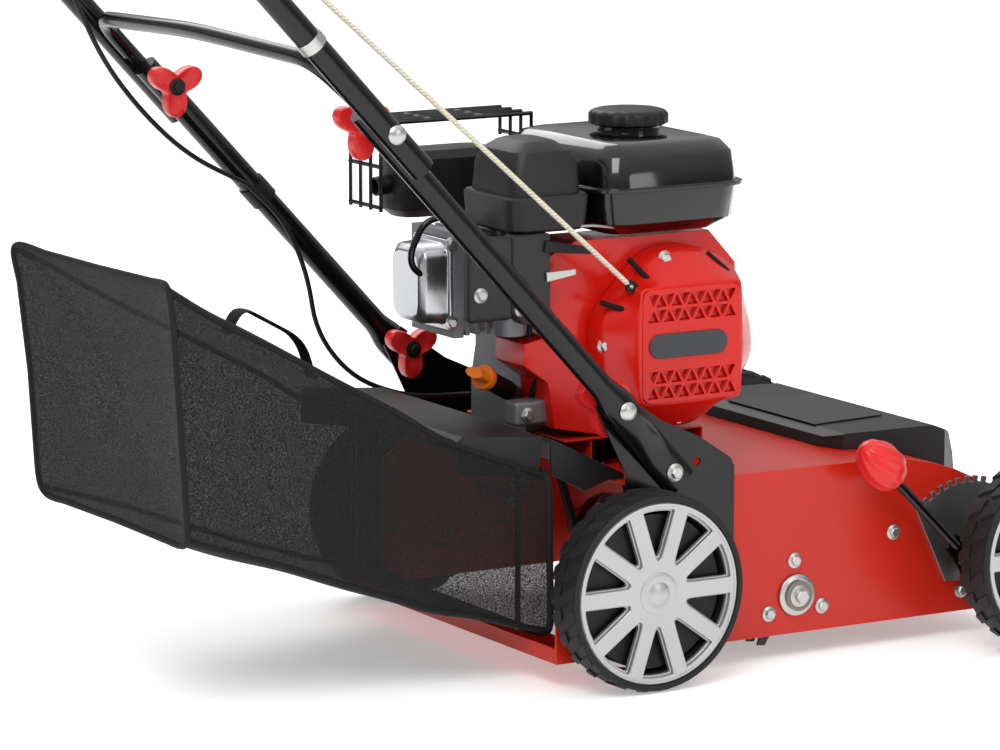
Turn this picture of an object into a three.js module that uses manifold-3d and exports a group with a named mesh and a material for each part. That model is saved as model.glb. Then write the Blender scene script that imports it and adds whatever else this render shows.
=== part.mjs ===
// Walk-behind petrol lawn scarifier, built like a push mower: steel deck on four wheels,
// horizontal-shaft engine driving a bladed reel by belt, depth lever, folding handle, catcher bag.
// Millimetres. X points forward, Y to the left, Z up. The design frame has x = 0 at the rear
// axle; the group is shifted at the end so that the origin is under the middle of the machine.
import * as THREE from "three";
import { mergeVertices } from "three/addons/utils/BufferGeometryUtils.js";
import Module from "manifold-3d";

const wasm = await Module();
wasm.setup();

// ---------------------------------------------------------------- driving dimensions
const GAP = 0.4; // air between touching pieces
const WHEEL_RADIUS = 100;
const TYRE_WIDTH = 48;
const WHEEL_FACETS = 32;
const REAR_WHEEL_FACE = 273; // outer face of a rear wheel from the middle of the machine
const FRONT_WHEEL_FACE = 327;
const AXLE_RADIUS = 6.2;
const REAR_AXLE = [0, 100]; // x, z
const FRONT_AXLE = [450, 100];
const DEPTH_PIVOT = [412, 76]; // the eccentric axle that raises the front of the deck

const SHEET = 3; // deck sheet thickness
const DECK_HALF = 211.5;
const DECK_TOP = 196;
const DECK_BOTTOM = 26;
const DECK_REAR = -82;
const DECK_FRONT = 487;
const DECK_BEND = 285; // where the top starts to curve down to the front

const REEL = [201, 66];
const REEL_RADIUS = 62;
const REEL_SHAFT_RADIUS = 10;
const BLADE_PITCH = 20;
const BLADE_COUNT = 16;
const BELT_Y = 149; // middle of the belt

const CRANK = [114, 323];
const CRANK_RADIUS = 10;
const ENGINE_PULLEY_RADIUS = 28; // groove radii
const REEL_PULLEY_RADIUS = 34;
const ENGINE_BASE = 226;

const CLAMP_BOLT = [-17.7, 278.6]; // lower clamp of the handle
const FOLD_BOLT = [-289.8, 571.1]; // hinge between lower and upper handle
const HANDLE_SCREW = [47, 209.1]; // pivot at the foot of the handle
const TUBE_RADIUS = 12.5;
const TUBE_WALL = 1.8;
const UPPER_LENGTH = 515; // fold bolt to the middle of the top bar
const BRACKET_THICKNESS = 3;
const FLAT_END = 9; // thickness of the flattened foot of the lower tube
const CROSS_BAR = 98; // distance of the arched cross bar past the fold bolt

const FLAP_HINGE = [-66, 242];
const BAG_WALL = 2.5;

// ---------------------------------------------------------------- derived places
const bracketFace = DECK_HALF + 0.3 + BRACKET_THICKNESS; // outer face of a bracket plate
const lowerTubeY = bracketFace + GAP + TUBE_RADIUS;
const upperTubeY = lowerTubeY + 2 * TUBE_RADIUS + GAP;
const rise = new THREE.Vector2(FOLD_BOLT[0] - CLAMP_BOLT[0], FOLD_BOLT[1] - CLAMP_BOLT[1]);
const foldDistance = rise.length();
const along = rise.clone().normalize(); // up the handle
const across = new THREE.Vector2(along.y, -along.x); // forward and up, square to the handle

// A point of the side view, a distance up the handle from a start and a distance square to it.
function onHandle(start, up, out = 0) {
  return [
    start[0] + along.x * up + across.x * out,
    start[1] + along.y * up + across.y * out,
  ];
}

// ---------------------------------------------------------------- materials
function finish(color, roughness, metalness = 0) {
  return new THREE.MeshStandardMaterial({ color, roughness, metalness });
}
const deckRed = finish(0xc43220, 0.3);
const engineRed = finish(0xd72314, 0.35);
const plasticRed = finish(0xe1322d, 0.5);
const blackPaint = finish(0x16171a, 0.35);
const blackPlastic = finish(0x2b2c2e, 0.6);
const blackGloss = finish(0x0b0c0e, 0.15);
const castAluminium = finish(0x8c8f90, 0.55, 0.8);
const zinc = finish(0xc8cacc, 0.35, 0.9);
const chrome = finish(0xd8dadc, 0.15, 1);
const steel = finish(0x77797c, 0.45, 0.9);
const tyreRubber = finish(0x262728, 0.85);
const rimSilver = finish(0xc9cbcd, 0.3, 0.6);
const foamBlack = finish(0x1b1b1c, 0.9);
const bagFabric = finish(0x1e1e1f, 0.95);
const oilOrange = finish(0xd06a0c, 0.45);
const ropeWhite = finish(0xdcd6c4, 0.9);

// ---------------------------------------------------------------- shape helpers
function toSolid(geometry) {
  const bare = geometry.clone();
  bare.deleteAttribute("normal");
  bare.deleteAttribute("uv");
  const merged = mergeVertices(bare, 1e-4);
  return new wasm.Manifold(
    new wasm.Mesh({
      numProp: 3,
      vertProperties: new Float32Array(merged.attributes.position.array),
      triVerts: new Uint32Array(merged.index.array),
    }),
  );
}

function toGeometry(solid) {
  const mesh = solid.getMesh();
  const geometry = new THREE.BufferGeometry();
  geometry.setAttribute("position", new THREE.BufferAttribute(mesh.vertProperties, 3));
  geometry.setIndex(new THREE.BufferAttribute(mesh.triVerts, 1));
  return geometry;
}

function join(...geometries) {
  return toGeometry(geometries.map(toSolid).reduce((sum, next) => sum.add(next)));
}

function cut(base, ...tools) {
  return toGeometry(tools.map(toSolid).reduce((sum, next) => sum.subtract(next), toSolid(base)));
}

function common(first, second) {
  return toGeometry(toSolid(first).intersect(toSolid(second)));
}

function shapeOf(outline) {
  return outline instanceof THREE.Shape
    ? outline
    : new THREE.Shape(outline.map(([x, y]) => new THREE.Vector2(x, y)));
}

// An outline of the side view (x, z), given a thickness across the machine.
function sidePlate(outline, yLow, yHigh, curveSegments = 10) {
  const options = { depth: yHigh - yLow, bevelEnabled: false, curveSegments };
  return new THREE.ExtrudeGeometry(shapeOf(outline), options)
    .rotateX(Math.PI / 2)
    .translate(0, yHigh, 0);
}

// An outline of the top view (x, y), given a height.
function floorPlate(outline, zLow, zHigh, curveSegments = 6) {
  const options = { depth: zHigh - zLow, bevelEnabled: false, curveSegments };
  return new THREE.ExtrudeGeometry(shapeOf(outline), options).translate(0, 0, zLow);
}

function box(xLow, xHigh, yLow, yHigh, zLow, zHigh) {
  return new THREE.BoxGeometry(xHigh - xLow, yHigh - yLow, zHigh - zLow).translate(
    (xLow + xHigh) / 2,
    (yLow + yHigh) / 2,
    (zLow + zHigh) / 2,
  );
}

// A round bar across the machine.
function crossRod([x, z], radius, yLow, yHigh, facets = 16) {
  return new THREE.CylinderGeometry(radius, radius, yHigh - yLow, facets).translate(
    x,
    (yLow + yHigh) / 2,
    z,
  );
}

// A round bar between two points.
function bar(start, end, radius, facets = 8) {
  const from = new THREE.Vector3(...start);
  const to = new THREE.Vector3(...end);
  const reach = to.clone().sub(from);
  const turn = new THREE.Quaternion().setFromUnitVectors(
    new THREE.Vector3(0, 1, 0),
    reach.clone().normalize(),
  );
  const middle = from.clone().add(to).multiplyScalar(0.5);
  return new THREE.CylinderGeometry(radius, radius, reach.length(), facets)
    .applyQuaternion(turn)
    .translate(middle.x, middle.y, middle.z);
}

// Points of a line whose corners are rounded off.
function roundedLine(corners, cut, steps = 5) {
  const points = corners.map((corner) => new THREE.Vector3(...corner));
  const line = [points[0]];
  for (let i = 1; i < points.length - 1; i++) {
    const corner = points[i];
    const back = points[i - 1].clone().sub(corner).setLength(cut).add(corner);
    const ahead = points[i + 1].clone().sub(corner).setLength(cut).add(corner);
    line.push(...new THREE.QuadraticBezierCurve3(back, corner, ahead).getPoints(steps));
  }
  line.push(points[points.length - 1]);
  return line;
}

// A round tube along a line of points.
function tube(line, radius, facets = 8) {
  const rings = [];
  const heading = new THREE.Vector3();
  const side = new THREE.Vector3();
  for (let i = 0; i < line.length; i++) {
    const before = line[Math.max(i - 1, 0)];
    const after = line[Math.min(i + 1, line.length - 1)];
    const next = after.clone().sub(before).normalize();
    if (i === 0) {
      const guide = Math.abs(next.y) < 0.7 ? new THREE.Vector3(0, 1, 0) : new THREE.Vector3(1, 0, 0);
      side.crossVectors(next, guide).normalize();
    } else {
      side.applyQuaternion(new THREE.Quaternion().setFromUnitVectors(heading, next));
    }
    heading.copy(next);
    const other = new THREE.Vector3().crossVectors(heading, side);
    const ring = [];
    for (let k = 0; k < facets; k++) {
      const angle = ((k + 0.5) * 2 * Math.PI) / facets;
      const point = line[i]
        .clone()
        .addScaledVector(side, radius * Math.cos(angle))
        .addScaledVector(other, radius * Math.sin(angle));
      ring.push(point.toArray());
    }
    rings.push(ring);
  }
  return loft(rings);
}

// A ring-shaped or solid turned piece about the Y axis, from a closed profile of [radius, y].
function turned(profile, facets, start = 0) {
  const points = profile.map(([radius, y]) => new THREE.Vector2(radius, y));
  points.push(points[0].clone());
  return new THREE.LatheGeometry(points, facets, start);
}

// A skin over a stack of rings with equal point counts, closed by flat ends.
function loft(rings) {
  const count = rings[0].length;
  const positions = rings.flat(2);
  const faces = [];
  for (let r = 0; r < rings.length - 1; r++) {
    for (let i = 0; i < count; i++) {
      const a = r * count + i;
      const b = r * count + ((i + 1) % count);
      faces.push(a, b, b + count, a, b + count, a + count);
    }
  }
  const top = (rings.length - 1) * count;
  for (let i = 1; i < count - 1; i++) {
    faces.push(0, i + 1, i);
    faces.push(top, top + i, top + i + 1);
  }
  const geometry = new THREE.BufferGeometry();
  geometry.setAttribute("position", new THREE.Float32BufferAttribute(positions, 3));
  geometry.setIndex(faces);
  return geometry;
}

// A rectangle of the top view with rounded corners, as a ring of points at a height.
function roundedRing(xLow, xHigh, yLow, yHigh, radius, z, cornerPoints = 3) {
  const ring = [];
  const centres = [
    [xHigh - radius, yHigh - radius, 0],
    [xLow + radius, yHigh - radius, 1],
    [xLow + radius, yLow + radius, 2],
    [xHigh - radius, yLow + radius, 3],
  ];
  for (const [x, y, quarter] of centres) {
    for (let i = 0; i < cornerPoints; i++) {
      const angle = (Math.PI / 2) * (quarter + i / (cornerPoints - 1));
      ring.push([x + radius * Math.cos(angle), y + radius * Math.sin(angle), z]);
    }
  }
  return ring;
}

// ---------------------------------------------------------------- the scene graph
const machine = new THREE.Group();

function add(name, geometry, material, parent = machine) {
  const mesh = new THREE.Mesh(geometry, material);
  mesh.name = name;
  parent.add(mesh);
  return mesh;
}

const sides = [
  { name: "right", sign: -1 },
  { name: "left", sign: 1 },
];

// A span across the machine, measured outward from the middle on one side.
function outward(sign, near, far) {
  return sign > 0 ? [near, far] : [-far, -near];
}

// ---------------------------------------------------------------- deck
// The deck's front curve in the side view, moved inwards by an offset.
function frontCurve(shape, offset) {
  shape.bezierCurveTo(
    375 - offset / 2,
    DECK_TOP - offset,
    DECK_FRONT - offset,
    160,
    DECK_FRONT - offset,
    60,
  );
}

function deckTopSheet() {
  const shape = new THREE.Shape();
  shape.moveTo(12, DECK_TOP - SHEET);
  shape.lineTo(12, DECK_TOP);
  shape.lineTo(DECK_BEND, DECK_TOP);
  frontCurve(shape, 0);
  shape.lineTo(DECK_FRONT - SHEET, 60);
  shape.bezierCurveTo(DECK_FRONT - SHEET, 158, 373, DECK_TOP - SHEET, DECK_BEND, DECK_TOP - SHEET);
  const half = DECK_HALF - SHEET - 0.3;
  const sheet = sidePlate(shape, -half, half);
  const beltSlot = box(106, 208, BELT_Y - 15, BELT_Y + 15, DECK_TOP - 10, DECK_TOP + 10);
  return cut(sheet, beltSlot);
}

function deckSideShape(offset = 0) {
  const shape = new THREE.Shape();
  shape.moveTo(DECK_REAR, DECK_BOTTOM);
  shape.lineTo(DECK_REAR, 110);
  shape.lineTo(-60, 150);
  shape.lineTo(12, DECK_TOP + offset);
  shape.lineTo(DECK_BEND, DECK_TOP + offset);
  frontCurve(shape, -offset);
  shape.lineTo(470, 40);
  shape.lineTo(440, DECK_BOTTOM);
  return shape;
}

function deckSide(sign) {
  const [low, high] = outward(sign, DECK_HALF - SHEET, DECK_HALF);
  return cut(
    sidePlate(deckSideShape(), low, high),
    crossRod(REEL, 15.8, low - 5, high + 5, 20),
    crossRod(DEPTH_PIVOT, 9.4, low - 5, high + 5),
  );
}

// A turned-up plate under the rear opening, which guides what the reel throws into the bag.
function rearLip() {
  const outline = [
    [DECK_REAR, DECK_BOTTOM],
    [-20, DECK_BOTTOM],
    [-20, DECK_BOTTOM + SHEET],
    [DECK_REAR + SHEET, DECK_BOTTOM + SHEET],
    [DECK_REAR + SHEET, DECK_BOTTOM + 16],
    [DECK_REAR, DECK_BOTTOM + 16],
  ];
  const half = DECK_HALF - SHEET - 0.3;
  return sidePlate(outline, -half, half);
}

// A pressed channel that lifts the engine off the deck.
function engineMount() {
  const foot = DECK_TOP + 0.3;
  const top = ENGINE_BASE - 0.3;
  const outline = [
    [26, foot],
    [42, foot],
    [42, foot + SHEET],
    [29, foot + SHEET],
    [29, top - SHEET],
    [157, top - SHEET],
    [157, foot],
    [172, foot],
    [172, foot + SHEET],
    [160, foot + SHEET],
    [160, top],
    [-4, top],
    [-4, top - SHEET],
    [26, top - SHEET],
  ];
  return sidePlate(outline, -100, 100);
}

// The moulded cover over the front of the deck: a low box that follows the deck's curve.
function frontHood() {
  const profile = [
    [284, 190],
    [288, 207],
    [302, 212],
    [415, 210],
    [446, 198],
    [466, 170],
    [476, 140],
    [430, 120],
  ];
  const innerProfile = [
    [288, 180],
    [291, 204],
    [303, 209],
    [414, 207],
    [444, 195],
    [463, 168],
    [472, 140],
    [430, 110],
  ];
  const plan = [
    [284, -122],
    [300, -150],
    [430, -146],
    [476, -100],
    [490, 0],
    [476, 100],
    [430, 146],
    [300, 150],
    [284, 122],
  ];
  const innerPlan = plan.map(([x, y]) => [387 + (x - 387) * 0.97, y * 0.98]);
  const outer = common(sidePlate(profile, -160, 160), floorPlate(plan, 100, 230));
  const inner = common(sidePlate(innerProfile, -160, 160), floorPlate(innerPlan, 90, 230));
  const deck = sidePlate(deckSideShape(0.5), -200, 200);
  return cut(outer, inner, deck);
}

add("deck_top_sheet", deckTopSheet(), deckRed);
for (const { name, sign } of sides) add("deck_side_" + name, deckSide(sign), deckRed);
add("deck_rear_lip", rearLip(), deckRed);
add("engine_mount", engineMount(), deckRed);
add("front_hood", frontHood(), blackPlastic);

// ---------------------------------------------------------------- handle brackets with stub axles
function handleBracket(sign) {
  const inner = DECK_HALF + 0.3;
  const [low, high] = outward(sign, inner, bracketFace);
  const outline = [
    onHandle(CLAMP_BOLT, 16, 14),
    [35.5, 261.8],
    [82, 240.6],
    [119.6, 215.4],
    [123.7, 207],
    [123.7, 92],
    [100, 72],
    [-22, 72],
    [-34, 100],
    [-2, 206],
    onHandle(CLAMP_BOLT, 16, -14),
  ];
  const [axleLow, axleHigh] = outward(sign, inner, REAR_WHEEL_FACE - 5);
  const plate = join(
    sidePlate(outline, low, high),
    crossRod(REAR_AXLE, AXLE_RADIUS, axleLow, axleHigh),
  );
  // The clamp bolt leaves the plate through a slot that opens square to the tube.
  const slot = sidePlate(
    [
      onHandle(CLAMP_BOLT, -5, -5),
      onHandle(CLAMP_BOLT, 5, -5),
      onHandle(CLAMP_BOLT, 5, 20),
      onHandle(CLAMP_BOLT, -5, 20),
    ].reverse(),
    low - 5,
    high + 5,
  );
  const spareHole = crossRod([79, 215.3], 4.5, low - 5, high + 5, 12);
  return cut(plate, slot, spareHole);
}
for (const { name, sign } of sides) {
  add("handle_bracket_" + name, handleBracket(sign), blackPaint);
}

// ---------------------------------------------------------------- wheels
// Both are turned about their own axle. Positive y is the outer face.
function tyre() {
  const tread = WHEEL_RADIUS / Math.cos(Math.PI / WHEEL_FACETS);
  const half = TYRE_WIDTH / 2;
  const profile = [
    [79, -half + 3],
    [91, -half],
    [tread, -half + 7],
    [tread, half - 7],
    [91, half],
    [79, half - 3],
  ];
  return turned(profile, WHEEL_FACETS, Math.PI / WHEEL_FACETS);
}

function rim() {
  const half = TYRE_WIDTH / 2;
  const profile = [
    [AXLE_RADIUS + 0.3, -half + 2],
    [20, -half + 2],
    [24, half - 16],
    [74, half - 12],
    [78.6, -half + 8],
    [78.6, half - 5],
    [20, half - 1],
    [AXLE_RADIUS + 0.3, half - 1],
  ];
  return turned(profile, WHEEL_FACETS, Math.PI / WHEEL_FACETS);
}

const wheels = [
  { name: "rear_right", at: REAR_AXLE, face: REAR_WHEEL_FACE, sign: -1 },
  { name: "rear_left", at: REAR_AXLE, face: REAR_WHEEL_FACE, sign: 1 },
  { name: "front_right", at: FRONT_AXLE, face: FRONT_WHEEL_FACE, sign: -1 },
  { name: "front_left", at: FRONT_AXLE, face: FRONT_WHEEL_FACE, sign: 1 },
];
for (const { name, at, face, sign } of wheels) {
  const wheel = new THREE.Group();
  wheel.position.set(at[0], sign * (face - TYRE_WIDTH / 2), at[1]);
  wheel.rotation.z = sign > 0 ? 0 : Math.PI;
  machine.add(wheel);
  add("tyre_" + name, tyre(), tyreRubber, wheel);
  add("rim_" + name, rim(), rimSilver, wheel);
}

// ---------------------------------------------------------------- depth setting
// One shaft through the deck with an eccentric arm and a stub axle at each end.
function depthAxle() {
  const armInner = DECK_HALF + 8;
  const armOuter = armInner + 8;
  const pieces = [crossRod(DEPTH_PIVOT, 9, -armOuter, armOuter)];
  for (const { sign } of sides) {
    const [low, high] = outward(sign, armInner, armOuter);
    const arm = [
      [404, 62],
      [420, 62],
      [460, 92],
      [460, 108],
      [444, 112],
      [402, 86],
    ];
    pieces.push(sidePlate(arm, low, high));
    const [stubLow, stubHigh] = outward(sign, armInner, FRONT_WHEEL_FACE - 5);
    pieces.push(crossRod(FRONT_AXLE, AXLE_RADIUS, stubLow, stubHigh));
  }
  return join(...pieces);
}

const leverY = DECK_HALF + 20;
const leverFoot = new THREE.Vector3(386, -leverY + 1, 100);
const leverTip = new THREE.Vector3(304, -leverY - 12, 175);
const KNOB_HALF = 32;

function depthLever() {
  const hub = sidePlate(
    [
      [398, 62],
      [424, 66],
      [420, 90],
      [386, 112],
      [374, 98],
    ],
    -leverY,
    -leverY + 3.5,
  );
  const stick = bar(leverFoot.toArray(), leverTip.toArray(), 5, 10);
  return join(hub, stick);
}

// A fixed toothed arc that the lever locks into.
function depthQuadrant() {
  const arcRadius = 92;
  const teeth = 9;
  const first = THREE.MathUtils.degToRad(136);
  const last = THREE.MathUtils.degToRad(72);
  const outline = [];
  for (let i = 0; i < teeth; i++) {
    for (const [part, depth] of [
      [0, 0],
      [0.5, 0],
      [0.5, 6],
      [1, 6],
    ]) {
      const angle = first + ((last - first) * (i + part)) / teeth;
      const radius = arcRadius - depth;
      outline.push([
        DEPTH_PIVOT[0] + radius * Math.cos(angle),
        DEPTH_PIVOT[1] + radius * Math.sin(angle),
      ]);
    }
  }
  outline.push([DEPTH_PIVOT[0] + 22, DEPTH_PIVOT[1] - 16]);
  outline.push([DEPTH_PIVOT[0] - 28, DEPTH_PIVOT[1] - 16]);
  outline.reverse();
  const plate = sidePlate(outline, -DECK_HALF - 3.4, -DECK_HALF - 0.4);
  return cut(plate, crossRod(DEPTH_PIVOT, 10, -DECK_HALF - 9, -DECK_HALF + 5));
}

add("depth_quadrant", depthQuadrant(), blackPaint);
add("depth_axle", depthAxle(), blackPaint);
add("depth_lever", depthLever(), blackPaint);

const knobProfile = [
  [0, -KNOB_HALF],
  [10, -31],
  [15, -22],
  [21, 0],
  [22, 14],
  [17, 26],
  [8, 31],
  [0, KNOB_HALF],
];
const depthKnob = add(
  "depth_knob",
  new THREE.LatheGeometry(
    knobProfile.map(([r, y]) => new THREE.Vector2(r, y)),
    14,
  ),
  plasticRed,
);
const leverRun = leverTip.clone().sub(leverFoot).normalize();
depthKnob.position.copy(leverTip).addScaledVector(leverRun, KNOB_HALF + GAP);
depthKnob.quaternion.setFromUnitVectors(new THREE.Vector3(0, 1, 0), leverRun);

// ---------------------------------------------------------------- reel and belt drive
function reelBlade(y) {
  const outline = [];
  const arms = 3;
  for (let i = 0; i < arms; i++) {
    const turn = (i * 2 * Math.PI) / arms;
    for (const [radius, angle] of [
      [14, -0.8],
      [REEL_RADIUS, 0],
      [REEL_RADIUS - 3, 0.14],
      [14, 0.8],
    ]) {
      outline.push([
        REEL[0] + radius * Math.cos(turn + angle),
        REEL[1] + radius * Math.sin(turn + angle),
      ]);
    }
  }
  return sidePlate(outline, y - 1.25, y + 1.25);
}

function reel() {
  const firstBlade = -188;
  const lastBlade = firstBlade + BLADE_PITCH * (BLADE_COUNT - 1);
  const pieces = [
    crossRod(REEL, REEL_SHAFT_RADIUS, -DECK_HALF + 1, DECK_HALF - 1),
    crossRod(REEL, 15, firstBlade - 6, lastBlade + 6, 12),
  ];
  for (let i = 0; i < BLADE_COUNT; i++) pieces.push(reelBlade(firstBlade + i * BLADE_PITCH));
  return join(...pieces);
}

// A V-grooved pulley with its own axis at the origin.
function pulley(grooveRadius, boreRadius) {
  const flange = grooveRadius + 8;
  const profile = [
    [boreRadius, -10],
    [flange, -10],
    [flange, -6.5],
    [grooveRadius, -5.4],
    [grooveRadius, 5.4],
    [flange, 6.5],
    [flange, 10],
    [boreRadius, 10],
  ];
  return turned(profile, 24);
}

// A closed loop round two pulleys: the outline of a stretched band in the side view.
function beltBand(extra) {
  const from = new THREE.Vector2(...CRANK);
  const to = new THREE.Vector2(...REEL);
  const small = ENGINE_PULLEY_RADIUS + extra;
  const large = REEL_PULLEY_RADIUS + extra;
  const span = to.clone().sub(from);
  const heading = Math.atan2(span.y, span.x);
  const lean = Math.acos((small - large) / span.length());
  const outline = [];
  const turns = 10;
  for (let i = 0; i <= turns; i++) {
    const angle = heading + lean + ((2 * Math.PI - 2 * lean) * i) / turns;
    outline.push([from.x + small * Math.cos(angle), from.y + small * Math.sin(angle)]);
  }
  for (let i = 0; i <= turns; i++) {
    const angle = heading - lean + (2 * lean * i) / turns;
    outline.push([to.x + large * Math.cos(angle), to.y + large * Math.sin(angle)]);
  }
  return outline;
}

function driveBelt() {
  const outer = sidePlate(beltBand(7), BELT_Y - 4.5, BELT_Y + 4.5);
  const inner = sidePlate(beltBand(0.9), BELT_Y - 20, BELT_Y + 20);
  return cut(outer, inner);
}

// A pivoting arm whose roller tightens the rear run of the belt.
const IDLER_PIVOT = [74, 118];
const IDLER_ROLLER = [103, 172];
function idlerArm() {
  const arm = [
    [IDLER_PIVOT[0] - 10, IDLER_PIVOT[1] - 6],
    [IDLER_PIVOT[0] + 8, IDLER_PIVOT[1] - 12],
    [IDLER_ROLLER[0] + 8, IDLER_ROLLER[1] - 6],
    [IDLER_ROLLER[0] - 2, IDLER_ROLLER[1] + 8],
    [IDLER_ROLLER[0] - 10, IDLER_ROLLER[1] + 2],
  ];
  return join(
    sidePlate(arm, BELT_Y - 12, BELT_Y - 8),
    crossRod(IDLER_ROLLER, 14, BELT_Y - 8, BELT_Y + 8, 20),
    crossRod(IDLER_PIVOT, 6, BELT_Y - 12, DECK_HALF - SHEET - 1, 12),
  );
}

// The flanged bearing that carries one end of the reel.
function reelBearing() {
  const profile = [
    [REEL_SHAFT_RADIUS + 0.3, -9],
    [15.3, -9],
    [15.3, 0.4],
    [21.5, 0.4],
    [21.5, 3.5],
    [17, 5],
    [REEL_SHAFT_RADIUS + 0.3, 5],
  ];
  return turned(profile, 24);
}

add("reel", reel(), steel);
const reelPulley = add("reel_pulley", pulley(REEL_PULLEY_RADIUS, REEL_SHAFT_RADIUS + 0.3), steel);
reelPulley.position.set(REEL[0], BELT_Y, REEL[1]);
add("drive_belt", driveBelt(), tyreRubber);
add("idler_arm", idlerArm(), steel);
for (const { name, sign } of sides) {
  const bearing = add("reel_bearing_" + name, reelBearing(), zinc);
  bearing.position.set(REEL[0], sign * DECK_HALF, REEL[1]);
  bearing.rotation.z = sign > 0 ? 0 : Math.PI;
}

// The sheet cover over the engine pulley and the upper run of the belt.
function beltCover() {
  const outline = [
    [60, DECK_TOP + 0.4],
    [216, DECK_TOP + 0.4],
    [208, 262],
    [172, 345],
    [142, 370],
    [86, 370],
    [62, 345],
  ];
  const innerOutline = [
    [63, DECK_TOP - 5],
    [213, DECK_TOP - 5],
    [205, 262],
    [170, 343],
    [141, 367],
    [87, 367],
    [65, 343],
  ];
  const low = BELT_Y - 25;
  const high = BELT_Y + 25;
  return cut(
    sidePlate(outline, low, high),
    sidePlate(innerOutline, low + 2, high - 2),
    crossRod(CRANK, 16, low - 5, low + 10),
  );
}
add("belt_cover", beltCover(), blackPaint);

// ---------------------------------------------------------------- engine
// The oil filler neck rises to the rear and to the right of the crankcase.
const NECK_MOUTH = new THREE.Vector3(-60, -50, 283);
const neckRun = new THREE.Vector3(-60, -34, 29).normalize();

function alongNeck(distance) {
  return NECK_MOUTH.clone().addScaledVector(neckRun, distance).toArray();
}

function crankcase() {
  const outline = [
    [-14, ENGINE_BASE],
    [160, ENGINE_BASE],
    [160, 244],
    [172, 290],
    [172, 370],
    [140, 405],
    [40, 405],
    [-9, 385],
    [-9, 300],
    [-14, 270],
  ];
  return cut(
    join(sidePlate(outline, -38, 72), bar([0, -16, 254], alongNeck(0), 9, 12)),
    crossRod(CRANK, CRANK_RADIUS + 0.4, -60, 90, 20),
    bar(alongNeck(-36), alongNeck(5), 6, 12),
  );
}

// The cylinder with its cooling fins and the head.
function cylinderHead() {
  const pieces = [box(-88, -9.6, -36, 36, 322, 426)];
  for (let i = 0; i < 6; i++) {
    const x = -84 + i * 12;
    pieces.push(box(x, x + 5, -38, 46, 316, 434));
  }
  pieces.push(box(-98, -86, -38, 48, 314, 436));
  return join(...pieces);
}

function valveCover() {
  const flange = box(-103.5, -98.4, -46, 46, 322, 430);
  const ring = (x, inset) =>
    roundedRing(329 + inset, 425 - inset, -42 + inset, 42 - inset, 16, x, 4).map(([z, y, at]) => [
      at,
      y,
      z,
    ]);
  const dome = join(flange, loft([ring(-103, 0), ring(-138, 2), ring(-147, 9)]));
  return cut(dome, loft([ring(-90, 4), ring(-137, 6), ring(-144, 13)]));
}

// The pressed shroud round the flywheel, open towards the cylinder.
function blowerHousing() {
  const outline = [
    [-14, 238],
    [40, 227],
    [150, 232],
    [192, 262],
    [204, 330],
    [200, 392],
    [168, 427],
    [10, 427],
    [-24, 412],
    [-24, 332],
    [-50, 327],
    [-50, 305],
    [-22, 285],
  ];
  const centre = [80, 330];
  const innerOutline = outline.map(([x, z]) => [
    centre[0] + (x - centre[0]) * 0.965,
    centre[1] + (z - centre[1]) * 0.965,
  ]);
  return cut(
    sidePlate(outline.reverse(), -95.6, -39),
    sidePlate(innerOutline.reverse(), -92.6, -20),
    crossRod(CRANK, 80, -110, -80, 32),
  );
}

// The domed cover over the recoil starter, with an outlet for the rope.
function recoilCover() {
  const profile = [
    [0, -54],
    [62, -54],
    [80, -49],
    [90, -34],
    [94, 0],
    [91, 0],
    [87, -32.5],
    [78, -46.5],
    [61, -51],
    [0, -51],
  ];
  const points = profile.map(([radius, y]) => new THREE.Vector2(radius, y));
  const shell = new THREE.LatheGeometry(points, 32);
  return cut(shell.toNonIndexed(), bar([-72, -42, 68], [-55, -33, 53], 4.5, 10));
}

function flywheel() {
  const profile = [
    [CRANK_RADIUS + 0.3, -14],
    [26, -14],
    [30, -4],
    [72, -4],
    [74, 0],
    [74, 14],
    [CRANK_RADIUS + 0.3, 14],
  ];
  const pieces = [turned(profile, 24)];
  const blades = 8;
  for (let i = 0; i < blades; i++) {
    const blade = box(34, 70, -12, -3, -1.2, 1.2).rotateY((i * 2 * Math.PI) / blades);
    pieces.push(blade);
  }
  return join(...pieces);
}

function crankshaft() {
  return join(
    crossRod(CRANK, CRANK_RADIUS, -92, BELT_Y + 14, 20),
    pulley(ENGINE_PULLEY_RADIUS, CRANK_RADIUS - 1).translate(CRANK[0], BELT_Y, CRANK[1]),
  );
}

// Two deep-drawn shells that meet at a flange.
const TANK = { xLow: 30, xHigh: 197, yLow: -122, yHigh: 98 };
const FILLER = [122, -14];
function fuelTank() {
  const ring = (inset, z) =>
    roundedRing(
      TANK.xLow + inset,
      TANK.xHigh - inset,
      TANK.yLow + inset,
      TANK.yHigh - inset,
      30 - inset / 2,
      z,
      4,
    );
  const shell = (wall) =>
    loft([
      ring(22 + wall, 430 + wall),
      ring(4 + wall, 442 + wall),
      ring(wall, 477),
      ring(4 + wall, 508 - wall),
      ring(14 + wall, 520 - wall),
      ring(26 + wall, 523 - wall),
    ]);
  const flange = loft([ring(-6, 475), ring(-6, 479)]);
  const upright = (radius, low, high) =>
    new THREE.CylinderGeometry(radius, radius, high - low, 20)
      .rotateX(Math.PI / 2)
      .translate(...FILLER, (low + high) / 2);
  const outside = join(shell(0), flange, upright(32, 519, 529));
  return cut(outside, shell(2), upright(28, 510, 540));
}

function fuelCap() {
  const outline = [];
  const lobes = 12;
  for (let i = 0; i < lobes * 4; i++) {
    const angle = (i * 2 * Math.PI) / (lobes * 4);
    const radius = 39.5 + 1.5 * Math.cos(angle * lobes);
    outline.push([radius * Math.cos(angle), radius * Math.sin(angle)]);
  }
  return floorPlate(outline, -8, 8);
}

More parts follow.
